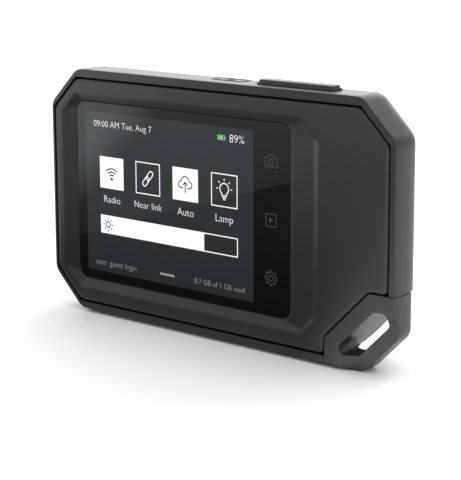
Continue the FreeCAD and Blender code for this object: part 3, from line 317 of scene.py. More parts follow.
# -------------------------------------------------------------------- finishes
class Surface:
    """A new material with its Principled shader and its node tree."""

    def __init__(self, name: str, effects: EffectLibrary) -> None:
        """Make the material.

        Args:
            name: the material's name.
            effects: the shared node groups.
        """
        self.material = bpy.data.materials.new(name)
        self.material.use_nodes = True
        self.nodes = NodeTree(self.material.node_tree)
        self.effects = effects
        self.shader = self.material.node_tree.nodes["Principled BSDF"]

    def set(self, **values: object) -> None:
        """Set sockets of the shader; an underscore stands for a space.

        Args:
            values: numbers, colours or sockets by socket name.
        """
        for name, value in values.items():
            self.nodes.feed(self.shader.inputs[name.replace("_", " ")], opaque(value))

    def relief(self, height: object, depth: float, edge: float) -> None:
        """Give the surface bump over softened edges.

        Args:
            height: the socket of the height, from 0 to 1.
            depth: how deep that height is, in metres.
            edge: radius of the softened edges, in metres.
        """
        bump = self.nodes.add("Bump")
        bump.inputs["Distance"].default_value = depth
        bump.inputs["Strength"].default_value = 1.0
        self.nodes.feed(bump.inputs["Height"], height)
        if edge > 0:
            self.soften(bump.inputs["Normal"], edge)
        self.nodes.feed(self.shader.inputs["Normal"], bump.outputs["Normal"])

    def soften(self, socket: bpy.types.NodeSocket, edge: float) -> None:
        """Feed a normal that rounds the edges.

        Args:
            socket: the input for the normal.
            edge: radius of the softened edges, in metres.
        """
        soft = self.effects.place(self.nodes, Effect.SOFT_EDGE, Radius=edge)
        self.nodes.feed(socket, soft.outputs["Normal"])


@dataclass(frozen=True)
class MouldedPlastic:
    """A moulded plastic or rubber with grain and rubbed edges."""

    name: str
    colour: Colour
    rubbed: Colour = (0.09, 0.09, 0.092)
    roughness: float = 0.42
    specular: float = 0.5
    grain: float = 3800.0
    depth: float = 0.012 * MM
    edge: float = 0.3 * MM
    wear: float = 0.35
    wear_scale: float = 260.0
    tone: Span = (0.8, 1.2)
    sheen_range: float = 0.06

    def build(self, effects: EffectLibrary) -> bpy.types.Material:
        """Make the material.

        Args:
            effects: the shared node groups.

        Returns:
            The material.
        """
        made = Surface(self.name, effects)
        nodes = made.nodes
        grain = effects.place(nodes, Effect.MOULD_GRAIN, Scale=self.grain)
        wear = effects.place(nodes, Effect.EDGE_WEAR, Radius=self.edge, Gain=self.wear,
                             Scale=self.wear_scale)
        shade = nodes.spread(grain.outputs["Shade"], *self.tone)
        tone = nodes.add("HueSaturation")
        nodes.feed(tone.inputs["Value"], shade)
        nodes.feed(tone.inputs["Color"], opaque(self.colour))
        colour = nodes.blend(wear.outputs["Mask"], tone.outputs["Color"], self.rubbed)
        rough = nodes.spread(grain.outputs["Shade"], self.roughness - self.sheen_range,
                             self.roughness + self.sheen_range)
        made.set(Base_Color=colour, Roughness=rough, Specular_IOR_Level=self.specular)
        made.relief(grain.outputs["Height"], self.depth, self.edge)
        return made.material


@dataclass(frozen=True)
class WorkedMetal:
    """A metal with tool marks, its edges softened."""

    name: str
    colour: Colour
    roughness: float = 0.3
    marks: float = 9000.0
    depth: float = 0.004 * MM
    edge: float = 0.12 * MM
    shaded: float = 0.72
    smoother: float = 0.08
    rougher: float = 0.12

    def build(self, effects: EffectLibrary) -> bpy.types.Material:
        """Make the material.

        Args:
            effects: the shared node groups.

        Returns:
            The material.
        """
        made = Surface(self.name, effects)
        nodes = made.nodes
        brushed = effects.place(nodes, Effect.BRUSHING, Scale=self.marks)
        darker = tuple(self.shaded * part for part in self.colour)
        colour = nodes.blend(brushed.outputs["Shade"], darker, self.colour)
        rough = nodes.spread(brushed.outputs["Shade"], self.roughness - self.smoother,
                             self.roughness + self.rougher)
        made.set(Base_Color=colour, Roughness=rough, Metallic=1.0)
        made.relief(brushed.outputs["Height"], self.depth, self.edge)
        return made.material


@dataclass(frozen=True)
class ClearPart:
    """Glass or clear plastic, with faint smears on it."""

    name: str
    colour: Colour = (1.0, 1.0, 1.0)
    bend: float = 1.5
    smear: float = 0.004

    def build(self, effects: EffectLibrary) -> bpy.types.Material:
        """Make the material.

        Args:
            effects: the shared node groups.

        Returns:
            The material.
        """
        made = Surface(self.name, effects)
        smears = made.nodes.noise(SMEAR_SCALE, SMEAR_DETAIL, SMEAR_STRETCH)
        made.set(Base_Color=self.colour, Transmission_Weight=1.0, IOR=self.bend,
                 Roughness=made.nodes.spread(smears, 0.0, self.smear))
        return made.material


@dataclass(frozen=True)
class CircuitBoard:
    """Solder resist with copper tracks showing through."""

    name: str
    resist: Colour = (0.012, 0.09, 0.04)
    track: Colour = (0.03, 0.2, 0.08)
    spacing: float = 420.0
    width: float = 0.06
    raised: float = 0.02 * MM
    roughness: Span = (0.35, 0.25)
    coat: float = 0.4

    def build(self, effects: EffectLibrary) -> bpy.types.Material:
        """Make the material.

        Args:
            effects: the shared node groups.

        Returns:
            The material.
        """
        made = Surface(self.name, effects)
        nodes = made.nodes
        cells = nodes.add("TexVoronoi", feature="DISTANCE_TO_EDGE", distance="MANHATTAN")
        nodes.feed(cells.inputs["Vector"], nodes.add("TexCoord").outputs["Object"])
        cells.inputs["Scale"].default_value = self.spacing
        tracks = nodes.math("LESS_THAN", cells.outputs["Distance"], self.width)
        made.set(Base_Color=nodes.blend(tracks, self.resist, self.track),
                 Roughness=nodes.spread(tracks, *self.roughness), Coat_Weight=self.coat)
        made.relief(tracks, self.raised, 0.0)
        return made.material


@dataclass(frozen=True)
class FoilPouch:
    """The crinkled foil of the battery cell."""

    name: str
    colour: Colour = (0.7, 0.7, 0.71)
    crease_shade: Colour = (0.55, 0.55, 0.56)
    crease_scale: float = 260.0
    crease_depth: float = 0.15 * MM
    edge: float = 0.2 * MM
    metal: float = 0.9
    roughness: Span = (0.2, 0.45)

    def build(self, effects: EffectLibrary) -> bpy.types.Material:
        """Make the material.

        Args:
            effects: the shared node groups.

        Returns:
            The material.
        """
        made = Surface(self.name, effects)
        creases = made.nodes.noise(self.crease_scale, 5.0)
        # Painted shade: the foil's colour darkens in the low parts of its creases.
        made.set(Base_Color=made.nodes.blend(creases, self.crease_shade, self.colour),
                 Metallic=self.metal, Roughness=made.nodes.spread(creases, *self.roughness))
        made.relief(creases, self.crease_depth, self.edge)
        return made.material


@dataclass(frozen=True)
class CoatedLens:
    """Germanium with its purple anti-reflection coat."""

    name: str
    colour: Colour = (0.16, 0.1, 0.19)
    rim_colour: Colour = (0.1, 0.22, 0.2)
    rim_blend: float = 0.35
    smear_scale: float = 420.0
    roughness: Span = (0.03, 0.12)
    metal: float = 0.85
    coat: float = 0.6

    def build(self, effects: EffectLibrary) -> bpy.types.Material:
        """Make the material.

        Args:
            effects: the shared node groups.

        Returns:
            The material.
        """
        made = Surface(self.name, effects)
        nodes = made.nodes
        rim = nodes.add("LayerWeight")
        rim.inputs["Blend"].default_value = self.rim_blend
        colour = nodes.blend(rim.outputs["Facing"], self.colour, self.rim_colour)
        smears = nodes.noise(self.smear_scale, 4.0)
        made.set(Base_Color=colour, Metallic=self.metal, Coat_Weight=self.coat,
                 Roughness=nodes.spread(smears, *self.roughness))
        return made.material


@dataclass(frozen=True)
class BondedGlass:
    """The cover glass bonded to the screen: black, with the lit picture area in it."""

    name: str
    centre: Point
    half: Point
    glow: Colour = (0.019, 0.0225, 0.026)
    black: Colour = (0.0005, 0.0005, 0.0005)
    panel: Colour = (0.001, 0.001, 0.001)
    middle_glow: float = 1.09
    # The glow's rise toward the picture's top is partly the screen's own gradient and partly
    # painted reflection of the glass.
    glow_and_painted_reflection_slope: float = 0.53
    cell_scale: float = 16000.0
    cell_range: Span = (0.98, 1.02)
    smear: float = 0.02
    edge: float = 0.25 * MM

    def build(self, effects: EffectLibrary) -> bpy.types.Material:
        """Make the material.

        Args:
            effects: the shared node groups.

        Returns:
            The material.
        """
        made = Surface(self.name, effects)
        nodes = made.nodes
        parts = nodes.add("SeparateXYZ")
        nodes.feed(parts.inputs[0], nodes.add("TexCoord").outputs["Object"])
        inside: object = 1.0
        for axis, middle, reach in zip("XZ", self.centre, self.half):
            away = nodes.math("ABSOLUTE", nodes.math("SUBTRACT", parts.outputs[axis], middle))
            inside = nodes.math("MULTIPLY", inside, nodes.math("LESS_THAN", away, reach))
        # Painted reflection: the picture glows brighter toward its top, partly the screen's own
        # gradient and partly the glass's reflection painted into the glow.
        height = nodes.math("DIVIDE", nodes.math("SUBTRACT", parts.outputs["Z"], self.centre[1]),
                            2 * self.half[1])
        rise = nodes.math("ADD", nodes.math("MULTIPLY", height, self.glow_and_painted_reflection_slope),
                          self.middle_glow)
        cells = nodes.spread(nodes.noise(self.cell_scale, 1.0), *self.cell_range)
        level = nodes.math("MULTIPLY", nodes.math("MULTIPLY", rise, cells), inside)
        smears = nodes.noise(SMEAR_SCALE, SMEAR_DETAIL, SMEAR_STRETCH)
        made.set(Base_Color=nodes.blend(inside, self.black, self.panel),
                 Roughness=nodes.spread(smears, 0.0, self.smear),
                 Emission_Color=nodes.blend(level, (0.0, 0.0, 0.0), self.glow),
                 Emission_Strength=1.0)
        made.soften(made.shader.inputs["Normal"], self.edge)
        return made.material


@dataclass(frozen=True)
class LitInk:
    """A lit or printed mark of the screen, as glossy as its glass. A printed mark glows too:
    painted light standing in for lit ink.
    """

    name: str
    glow: Colour
    strength: float = 1.0
    dot_scale: float = 14000.0
    dot_dim: float = 0.94
    base: Colour = (0.002, 0.002, 0.002)
    smear: float = 0.02

    def build(self, effects: EffectLibrary) -> bpy.types.Material:
        """Make the material.

        Args:
            effects: the shared node groups.

        Returns:
            The material.
        """
        made = Surface(self.name, effects)
        nodes = made.nodes
        dots = nodes.noise(self.dot_scale, 1.0)
        dimmer = tuple(self.dot_dim * part for part in self.glow)
        made.set(Base_Color=nodes.blend(dots, (0.0, 0.0, 0.0), self.base),
                 Roughness=nodes.spread(dots, 0.0, self.smear),
                 Emission_Color=nodes.blend(dots, dimmer, self.glow),
                 Emission_Strength=self.strength)
        return made.material


Finish = (MouldedPlastic | WorkedMetal | ClearPart | CircuitBoard | FoilPouch | CoatedLens
          | BondedGlass | LitInk)


class Wardrobe:
    """Makes each finish once and puts it on the pieces."""

    def __init__(self) -> None:
        """Start with no material made."""
        self.effects = EffectLibrary()
        self.made: dict[str, bpy.types.Material] = {}

    def dress(self, piece: bpy.types.Object, finish: Finish) -> None:
        """Put a finish on a piece.

        Args:
            piece: a CAD node's object or a new piece.
            finish: what it is made of.
        """
        if finish.name not in self.made:
            self.made[finish.name] = finish.build(self.effects)
        piece.data.materials.clear()
        piece.data.materials.append(self.made[finish.name])
        LOG.info("dressed %s in %s", piece.name, finish.name)

    def dress_nodes(self, names: str, finish: Finish) -> None:
        """Put a finish on CAD nodes.

        Args:
            names: the nodes' names with spaces between them.
            finish: what they are made of.
        """
        for name in names.split():
            self.dress(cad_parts[name], finish)


# ---------------------------------------------------------------- flat artwork
@dataclass
class Artwork:
    """Thin closed plates in the plane of the screen, gathered into one mesh.

    Places are in millimetres across and up from the middle of the picture.
    """

    name: str
    centre: Point
    depth: float
    thick: float = 0.02
    capital: float = 0.35
    thinner: float = -0.018
    sharpest: float = 0.4
    letter_steps: int = 3
    letter_depth: float = 0.01
    mesh: bmesh.types.BMesh = field(default_factory=bmesh.new)

    def solid(self, left: Sequence[Point], right: Optional[Sequence[Point]] = None,
              closed: bool = False) -> None:
        """Add a plate: a filled outline, or a band between two lines.

        Args:
            left: the outline, or one side of the band.
            right: the other side of the band, or None for a filled outline.
            closed: whether the band runs round to its start.
        """
        layers = []
        for depth in (self.depth, self.depth + self.thick):
            layers.append([[self.mesh.verts.new(self.spot(point, depth)) for point in line]
                           for line in ((left,) if right is None else (left, right))])
        front, back = layers
        if right is None:
            self.mesh.faces.new(front[0])
            self.mesh.faces.new(back[0][::-1])
            self.wall(front[0], back[0], True)
            return
        count = len(left)
        for i in range(count if closed else count - 1):
            j = (i + 1) % count
            self.mesh.faces.new((front[0][i], front[0][j], front[1][j], front[1][i]))
            self.mesh.faces.new((back[0][i], back[1][i], back[1][j], back[0][j]))
        self.wall(front[0], back[0], closed)
        self.wall(front[1], back[1], closed)
        if not closed:
            for i in (0, -1):
                self.mesh.faces.new((front[0][i], front[1][i], back[1][i], back[0][i]))

    def wall(self, front: list, back: list, closed: bool) -> None:
        """Join the front and back of a line of corners with faces.

        Args:
            front: the corners at the front.
            back: the corners at the back.
            closed: whether the line runs round to its start.
        """
        count = len(front)
        for i in range(count if closed else count - 1):
            j = (i + 1) % count
            self.mesh.faces.new((front[i], back[i], back[j], front[j]))

    def spot(self, point: Point, depth: float) -> Vector:
        """Return a place of the picture in the part's frame, in metres."""
        return Vector((self.centre[0] + point[0], depth, self.centre[1] + point[1])) * MM

    def panel(self, low: Point, high: Point) -> None:
        """Add a filled rectangle between two corners."""
        self.solid([low, (high[0], low[1]), high, (low[0], high[1])])

    def stroke(self, points: Sequence[Point], width: float, closed: bool = False) -> None:
        """Add a line of even width.

        Args:
            points: the line's middle.
            width: how wide it is.
            closed: whether it runs round to its start.
        """
        sides: tuple[list, list] = ([], [])
        count = len(points)
        for i, point in enumerate(points):
            back = points[i - 1] if closed or i else point
            ahead = points[(i + 1) % count] if closed or i < count - 1 else point
            before = Vector(point) - Vector(back)
            after = Vector(ahead) - Vector(point)
            before = before.normalized() if before.length else after.normalized()
            after = after.normalized() if after.length else before
            across = Vector((-(before + after).y, (before + after).x)).normalized()
            reach = width / 2 / max(self.sharpest, across.dot(Vector((-after.y, after.x))))
            for side, sign in zip(sides, (1, -1)):
                side.append(tuple(Vector(point) + across * reach * sign))
        self.solid(sides[0], sides[1], closed)

    def box(self, low: Point, high: Point, width: float) -> None:
        """Add the outline of a rectangle, drawn inside its corners.

        Args:
            low: the lower left corner.
            high: the upper right corner.
            width: how wide the line is.
        """
        half = width / 2
        self.stroke([(low[0] + half, low[1] + half), (high[0] - half, low[1] + half),
                     (high[0] - half, high[1] - half), (low[0] + half, high[1] - half)],
                    width, True)

    def disc(self, middle: Point, radius: float) -> None:
        """Add a filled circle."""
        self.solid(arc(middle, radius, 0, 360)[:-1])

    def ring(self, middle: Point, radius: float, width: float) -> None:
        """Add the outline of a circle."""
        self.stroke(arc(middle, radius, 0, 360)[:-1], width, True)

    def words(self, text: str, left: float, right: float, middle: float) -> None:
        """Add a line of text that fills a given width.

        Args:
            text: the words.
            left: where they start.
            right: where they end.
            middle: the height of the middle of the capitals.
        """
        curve = bpy.data.curves.new("words", "FONT")
        curve.body = text
        curve.resolution_u = self.letter_steps
        curve.extrude = self.letter_depth
        curve.offset = self.thinner
        holder = bpy.data.objects.new("words", curve)
        bpy.context.scene.collection.objects.link(holder)
        bpy.context.view_layer.update()
        letters = bpy.data.meshes.new_from_object(
            holder.evaluated_get(bpy.context.evaluated_depsgraph_get()))
        low = min(v.co.x for v in letters.vertices)
        high = max(v.co.x for v in letters.vertices)
        size = (right - left) / (high - low)
        for vertex in letters.vertices:
            across = left + (vertex.co.x - low) * size
            up = middle + (vertex.co.y - self.capital) * size
            behind = self.thick if vertex.co.z < 0 else 0.0
            vertex.co = self.spot((across, up), self.depth + behind)
        self.mesh.from_mesh(letters)
        bpy.data.objects.remove(holder)
        bpy.data.curves.remove(curve)

    def make(self) -> bpy.types.Object:
        """Finish the mesh and put it in the scene.

        Returns:
            The new piece.
        """
        bmesh.ops.recalc_face_normals(self.mesh, faces=self.mesh.faces)
        data = bpy.data.meshes.new(self.name)
        self.mesh.to_mesh(data)
        self.mesh.free()
        piece = bpy.data.objects.new(self.name, data)
        bpy.context.scene.collection.objects.link(piece)
        return piece


def arc(middle: Point, radius: float, start: float, end: float, steps: int = 28) -> list[Point]:
    """Return points along an arc.

    Args:
        middle: the centre.
        radius: the radius.
        start: the first angle in degrees.
        end: the last angle in degrees.
        steps: how many parts it has.

    Returns:
        The points in order.
    """
    points = []
    for i in range(steps + 1):
        angle = math.radians(start + (end - start) * i / steps)
        points.append((middle[0] + radius * math.cos(angle), middle[1] + radius * math.sin(angle)))
    return points


def shifted(points: Sequence[Point], middle: Point) -> list[Point]:
    """Return points moved so that their origin is at a place."""
    return [(x + middle[0], y + middle[1]) for x, y in points]


# ---------------------------------------------------------------------- screen
@dataclass
class Screen:
    """The lit picture, whose marks lie on the glass, and the touch keys beside it."""

    picture: Point = (71.1, 53.3)
    mask_left: float = 3.8
    line: float = 0.34
    sunk: float = 0.01
    tile: float = 5.3
    tile_low: float = 1.65
    tile_high: float = 12.15
    tiles: tuple[float, ...] = (-24.0, -8.0, 8.0, 24.0)
    lift: float = 0.02
    dark_lift: float = 0.035
    label_up: float = -1.9
    footer_up: float = -23.4
    clock_up: float = 22.9
    charge_up: float = 23.4
    text_left: float = -31.7
    clock_right: float = -6.2
    guest_right: float = -13.6
    space_left: float = 11.6
    charge_left: float = 26.2
    text_right: float = 32.0
    bar_low: Point = (-3.1, -23.8)
    bar_high: Point = (3.1, -23.1)
    sun: Point = (-26.0, -10.45)
    slider_low: Point = (-29.3, -13.5)
    slider_high: Point = (29.4, -7.4)
    slider_level: float = 15.7
    dark_line: float = 0.38
    keys_x: float = 42.4
    keys_step: float = 17.9
    keys_line: float = 0.3
    white: LitInk = LitInk("screen_white", (1.0, 1.0, 1.0), 1.05)
    grey: LitInk = LitInk("screen_grey", (0.3, 0.31, 0.32))
    dark: LitInk = LitInk("screen_dark", (0.006, 0.007, 0.008))
    green: LitInk = LitInk("screen_green", (0.3, 0.55, 0.33))
    # The key print glows: painted light standing in for grey ink lit by the room.
    key_painted_glow: LitInk = LitInk("key_print_painted_glow", (0.045, 0.048, 0.052))

    def __post_init__(self) -> None:
        """Find the middle of the picture and the depths from the CAD."""
        low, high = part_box("cover_glass")
        self.centre = (low.x / MM + self.mask_left + self.picture[0] / 2,
                       (low.z + high.z) / 2 / MM)
        self.front = low.y / MM
        self.icon_up = (self.tile_low + self.tile_high) / 2

    def art(self, name: str, lift: float) -> Artwork:
        """Start a layer of artwork.

        Args:
            name: the piece's name.
            lift: how far it stands out of the glass, in millimetres.

        Returns:
            The empty layer.
        """
        return Artwork(name, self.centre, self.front - lift, lift + self.sunk)

    def build(self, wardrobe: Wardrobe) -> None:
        """Build the artwork and dress it and the cover glass.

        Args:
            wardrobe: the finishes.
        """
        half = (self.picture[0] / 2 * MM, self.picture[1] / 2 * MM)
        middle = (self.centre[0] * MM, self.centre[1] * MM)
        wardrobe.dress_nodes("cover_glass", BondedGlass("cover_glass_black", middle, half))
        layers = ((self.white_art(), self.white), (self.dark_art(), self.dark),
                  (self.grey_art(), self.grey), (self.battery_art(), self.green),
                  (self.key_art(), self.key_painted_glow))
        for art, finish in layers:
            piece = art.make()
            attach(piece, "camera")
            wardrobe.dress(piece, finish)

    def white_art(self) -> Artwork:
        """Draw the white tiles, outlines and words.

        Returns:
            The layer.
        """
        art = self.art("screen_white_marks", self.lift)
        for number, across in enumerate(self.tiles):
            low = (across - self.tile, self.tile_low)
            high = (across + self.tile, self.tile_high)
            if number % 2:
                art.box(low, high, self.line)
            else:
                art.panel(low, high)
        self.link_icon(art, (self.tiles[1], self.icon_up))
        self.bulb_icon(art, (self.tiles[3], self.icon_up))
        art.panel(self.slider_low, (self.slider_level, self.slider_high[1]))
        low, high = self.slider_low[1] + self.line / 2, self.slider_high[1] - self.line / 2
        end = self.slider_high[0] - self.line / 2
        art.stroke([(self.slider_level, high), (end, high), (end, low),
                    (self.slider_level, low)], self.line)
        art.words("09:00 AM Tue, Aug 7", self.text_left, self.clock_right, self.clock_up)
        art.words("89%", self.charge_left, self.text_right, self.charge_up)
        labels = (("Radio", 3.6), ("Near link", 5.9), ("Auto", 3.4), ("Lamp", 3.5))
        for (text, reach), across in zip(labels, self.tiles):
            art.words(text, across - reach, across + reach, self.label_up)
        return art

    def link_icon(self, art: Artwork, middle: Point) -> None:
        """Draw two joined chain links.

        Args:
            art: the layer to draw on.
            middle: the icon's middle.
        """
        turn = Matrix.Rotation(math.radians(50), 2)
        for shift in (-1.25, 1.25):
            loop = (arc((shift + 0.9, 0), 0.85, -90, 90, 8)
                    + arc((shift - 0.9, 0), 0.85, 90, 270, 8))
            loop = [tuple(turn @ Vector(point)) for point in loop]
            art.stroke(shifted(loop, middle), self.line, True)

    def bulb_icon(self, art: Artwork, middle: Point) -> None:
        """Draw a lamp bulb with short rays.

        Args:
            art: the layer to draw on.
            middle: the icon's middle.
        """
        bulb = arc((0, 0.5), 1.75, -55, 235) + [(-0.85, -1.7), (0.85, -1.7)]
        art.stroke(shifted(bulb, middle), self.line, True)
        for reach, up in ((0.75, -2.3), (0.45, -2.85)):
            art.stroke(shifted([(-reach, up), (reach, up)], middle), self.line)
        for angle in (0, 45, 90, 135, 180):
            across, up = math.cos(math.radians(angle)), math.sin(math.radians(angle))
            ray = [(reach * across, 0.5 + reach * up) for reach in (2.5, 3.2)]
            art.stroke(shifted(ray, middle), 0.28)

    def dark_art(self) -> Artwork:
        """Draw the dark icons on the filled tiles and the slider.

        Returns:
            The layer.
        """
        art = self.art("screen_dark_marks", self.dark_lift)
        waves = (self.tiles[0], self.icon_up - 2.0)
        art.disc(waves, 0.5)
        for radius in (1.35, 2.4, 3.45):
            art.stroke(arc(waves, radius, 46, 134), 0.42)
        cloud = (self.tiles[2], self.icon_up + 0.5)
        edge = ([(-0.9, -1.6)] + arc((-1.75, -0.55), 1.05, 270, 100, 10)
                + arc((0.0, 0.45), 1.6, 165, 15, 12) + arc((1.75, -0.55), 1.05, 80, -90, 10)
                + [(0.9, -1.6)])
        for line in (edge, [(0, -3.3), (0, 0.2)], [(-0.95, -0.75), (0, 0.25), (0.95, -0.75)]):
            art.stroke(shifted(line, cloud), self.dark_line)
        art.ring(self.sun, 0.95, 0.36)
        for number in range(8):
            angle = math.radians(45 * number)
            spoke = [(reach * math.cos(angle), reach * math.sin(angle)) for reach in (1.6, 2.25)]
            art.stroke(shifted(spoke, self.sun), 0.34)
        return art

    def grey_art(self) -> Artwork:
        """Draw the dim words and bar along the bottom.

        Returns:
            The layer.
        """
        art = self.art("screen_grey_marks", self.lift)
        art.words("user: guest login", self.text_left, self.guest_right, self.footer_up)
        art.words("0.7 GB of 1 GB used", self.space_left, self.text_right, self.footer_up)
        art.panel(self.bar_low, self.bar_high)
        return art

    def battery_art(self) -> Artwork:
        """Draw the green battery mark.

        Returns:
            The layer.
        """
        art = self.art("screen_battery_mark", self.lift)
        art.box((21.4, 22.5), (24.3, 24.1), 0.22)
        art.panel((24.3, 23.0), (24.65, 23.6))
        art.panel((21.8, 22.85), (23.7, 23.75))
        return art

    def key_art(self) -> Artwork:
        """Draw the three printed touch keys beside the picture, whose ink glows as painted light.

        Returns:
            The layer.
        """
        art = self.art("touch_key_marks", self.lift)
        across, width = self.keys_x, self.keys_line
        shot = (across, self.keys_step)
        body = [(-2.3, -1.6), (2.3, -1.6), (2.3, 1.3), (1.2, 1.3), (0.7, 2.0), (-0.7, 2.0),
                (-1.2, 1.3), (-2.3, 1.3)]
        art.stroke(shifted(body, shot), width, True)
        art.ring((shot[0], shot[1] - 0.15), 0.95, width)
        art.box((across - 2.1, -2.1), (across + 2.1, 2.1), width)
        art.solid([(across - 0.7, -0.95), (across + 1.0, 0.0), (across - 0.7, 0.95)])
        gear = (across, -self.keys_step)
        outline = []
        teeth = 8
        for number in range(teeth):
            for part, reach in ((-0.26, 1.75), (-0.17, 2.3), (0.17, 2.3), (0.26, 1.75)):
                angle = math.tau * (number + part) / teeth
                outline.append((reach * math.cos(angle), reach * math.sin(angle)))
        art.stroke(shifted(outline, gear), width, True)
        art.ring(gear, 0.8, width)
        return art


# ------------------------------------------------------------------------ keys
@dataclass
class TopKeys:
    """The shutter bar and the power key, with the key's raised lip and mark."""

    radius: float = 1.25
    line: float = 0.45
    cap_depth: float = 0.5
    proud: float = 0.15
    sunk: float = 0.15
    lip: float = 0.35
    rubber: MouldedPlastic = MouldedPlastic("key_rubber", (0.02, 0.02, 0.021), roughness=0.38,
                                            grain=5200.0, wear=0.25, edge=0.25 * MM)
    raised: MouldedPlastic = MouldedPlastic("key_raised_mark", (0.015, 0.015, 0.016),
                                            roughness=0.35, edge=0.1 * MM)

    def build(self, wardrobe: Wardrobe) -> None:
        """Dress the keys and build the power mark.

        Args:
            wardrobe: the finishes.
        """
        wardrobe.dress_nodes("shutter_button power_button", self.rubber)
        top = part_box("power_button")[1].z
        cap = [corner.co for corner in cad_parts["power_button"].data.vertices
               if corner.co.z > top - self.cap_depth * MM]
        low, high = [[pick(point[axis] for point in cap) / MM for axis in (0, 1)]
                     for pick in (min, max)]
        centre = ((low[0] + high[0]) / 2, (low[1] + high[1]) / 2)
        art = Artwork("power_mark", (0.0, 0.0), 0.0, self.proud + self.sunk)
        end = (high[1] - low[1]) / 2 - self.lip
        reach = (high[0] - low[0]) / 2 - self.lip - end
        art.stroke(arc((reach, 0), end, -90, 90) + arc((-reach, 0), end, 90, 270),
                   self.lip, True)
        art.stroke(arc((0, 0), self.radius, 120, 420), self.line)
        art.stroke([(0, 0.25), (0, self.radius + 0.45)], self.line)
        piece = art.make()
        lie = Matrix.Rotation(math.radians(-90), 4, "X")
        place = Matrix.Translation(Vector((centre[0], centre[1], top / MM + self.proud)) * MM)
        piece.data.transform(place @ lie)
        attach(piece, "power_key")
        wardrobe.dress(piece, self.raised)


# ----------------------------------------------------------------------- shell
@dataclass
class Shell:
    """The outside mouldings and what closes them."""

    housing: MouldedPlastic = MouldedPlastic("housing_plastic", (0.0165, 0.016, 0.0157),
                                             roughness=0.36, edge=0.35 * MM)
    # The cover's warmer, browner tint than the housing's is a painted brownish reflection over the
    # plastic's own dark grey.
    cover: MouldedPlastic = MouldedPlastic("cover_plastic", (0.0165, 0.0155, 0.0148),
                                           roughness=0.4, edge=1.6 * MM, wear=0.05)
    loop: MouldedPlastic = MouldedPlastic("loop_plastic", (0.019, 0.0187, 0.0185),
                                          roughness=0.36, wear=0.5, edge=0.4 * MM)
    rubber: MouldedPlastic = MouldedPlastic("seal_rubber", (0.012, 0.012, 0.012), roughness=0.7,
                                            specular=0.3, grain=6000.0)

    def build(self, wardrobe: Wardrobe) -> None:
        """Dress the mouldings.

        Args:
            wardrobe: the finishes.
        """
        wardrobe.dress_nodes("front_housing", self.housing)
        wardrobe.dress_nodes("rear_cover", self.cover)
        wardrobe.dress_nodes("lanyard_corner", self.loop)
        wardrobe.dress_nodes("housing_gasket usb_flap lens_seal", self.rubber)


@dataclass
class Optics:
    """The lens side: its plate, the thermal lens, the camera and the lamp."""

    plate: MouldedPlastic = MouldedPlastic("optics_plate_satin", (0.01, 0.01, 0.011),
                                           roughness=0.3, grain=7000.0, depth=0.005 * MM)

    def build(self, wardrobe: Wardrobe) -> None:
        """Dress the optics.

        Args:
            wardrobe: the finishes.
        """
        black = WorkedMetal("black_oxide", (0.05, 0.05, 0.052), roughness=0.42)
        wardrobe.dress_nodes("optics_plate", self.plate)
        wardrobe.dress_nodes("lens_barrel lens_retainer calibration_flag", black)
        wardrobe.dress_nodes("thermal_lens", CoatedLens("coated_germanium"))
        wardrobe.dress_nodes("camera_window lamp_lens", ClearPart("window_clear"))
        wardrobe.dress_nodes("camera_module flag_motor",
                             MouldedPlastic("module_black", (0.015, 0.015, 0.016)))
        wardrobe.dress_nodes("lamp_led", MouldedPlastic("lamp_phosphor", (0.75, 0.62, 0.12),
                                                        rubbed=(0.8, 0.7, 0.3), roughness=0.5))


@dataclass
class Internals:
    """Everything that the mouldings hide."""

    def build(self, wardrobe: Wardrobe) -> None:
        """Dress the hidden parts.

        Args:
            wardrobe: the finishes.
        """
        steel = WorkedMetal("spring_steel", (0.6, 0.6, 0.62))
        dark_steel = WorkedMetal("screw_steel", (0.16, 0.16, 0.165), roughness=0.36)
        wardrobe.dress_nodes("usb_receptacle shield_can flap_pin display_frame", steel)
        wardrobe.dress_nodes("housing_screws lanyard_screws board_screws", dark_steel)
        wardrobe.dress_nodes("tripod_insert", WorkedMetal("turned_brass", (0.72, 0.52, 0.24)))
        wardrobe.dress_nodes("chassis core_housing sensor_bracket",
                             WorkedMetal("cast_magnesium", (0.55, 0.56, 0.57), roughness=0.5,
                                         marks=2500.0))
        wardrobe.dress_nodes("main_board button_board sensor_board lamp_board",
                             CircuitBoard("solder_resist"))
        wardrobe.dress_nodes("memory_chip thermal_sensor shutter_switch power_switch "
                             "display_connector battery_connector",
                             MouldedPlastic("chip_resin", (0.025, 0.025, 0.026), roughness=0.5))
        wardrobe.dress_nodes("battery_cell", FoilPouch("cell_foil"))
        wardrobe.dress_nodes("display_flex battery_lead antenna",
                             MouldedPlastic("polyimide_film", (0.5, 0.24, 0.04),
                                            rubbed=(0.55, 0.3, 0.08), roughness=0.35))
        wardrobe.dress_nodes("battery_tray display_panel shutter_plunger power_plunger",
                             MouldedPlastic("plain_white_plastic", (0.7, 0.7, 0.68),
                                            rubbed=(0.75, 0.75, 0.73)))
        wardrobe.dress_nodes("battery_pad", MouldedPlastic("pad_foam", (0.08, 0.08, 0.08),
                                                           roughness=0.9, grain=1500.0,
                                                           depth=0.2 * MM))
        wardrobe.dress_nodes("optical_adhesive touch_sensor", ClearPart("clear_film", bend=1.4))


# ---------------------------------------------------------------------- studio
@dataclass(frozen=True)
class SoftLight:
    """A soft box in the studio."""

    name: str
    place: Place
    aim: Place
    size: Point
    power: float
    colour: Colour = (1.0, 1.0, 1.0)

    def build(self) -> None:
        """Add the light to the scene."""
        data = bpy.data.lights.new(self.name, "AREA")
        data.shape = "RECTANGLE"
        data.size, data.size_y = self.size
        data.energy = self.power
        data.color = self.colour
        lamp = bpy.data.objects.new(self.name, data)
        lamp.location = self.place
        lamp.rotation_euler = (Vector(self.aim) - Vector(self.place)).to_track_quat(
            "-Z", "Y").to_euler()
        lamp.visible_camera = False
        bpy.context.scene.collection.objects.link(lamp)


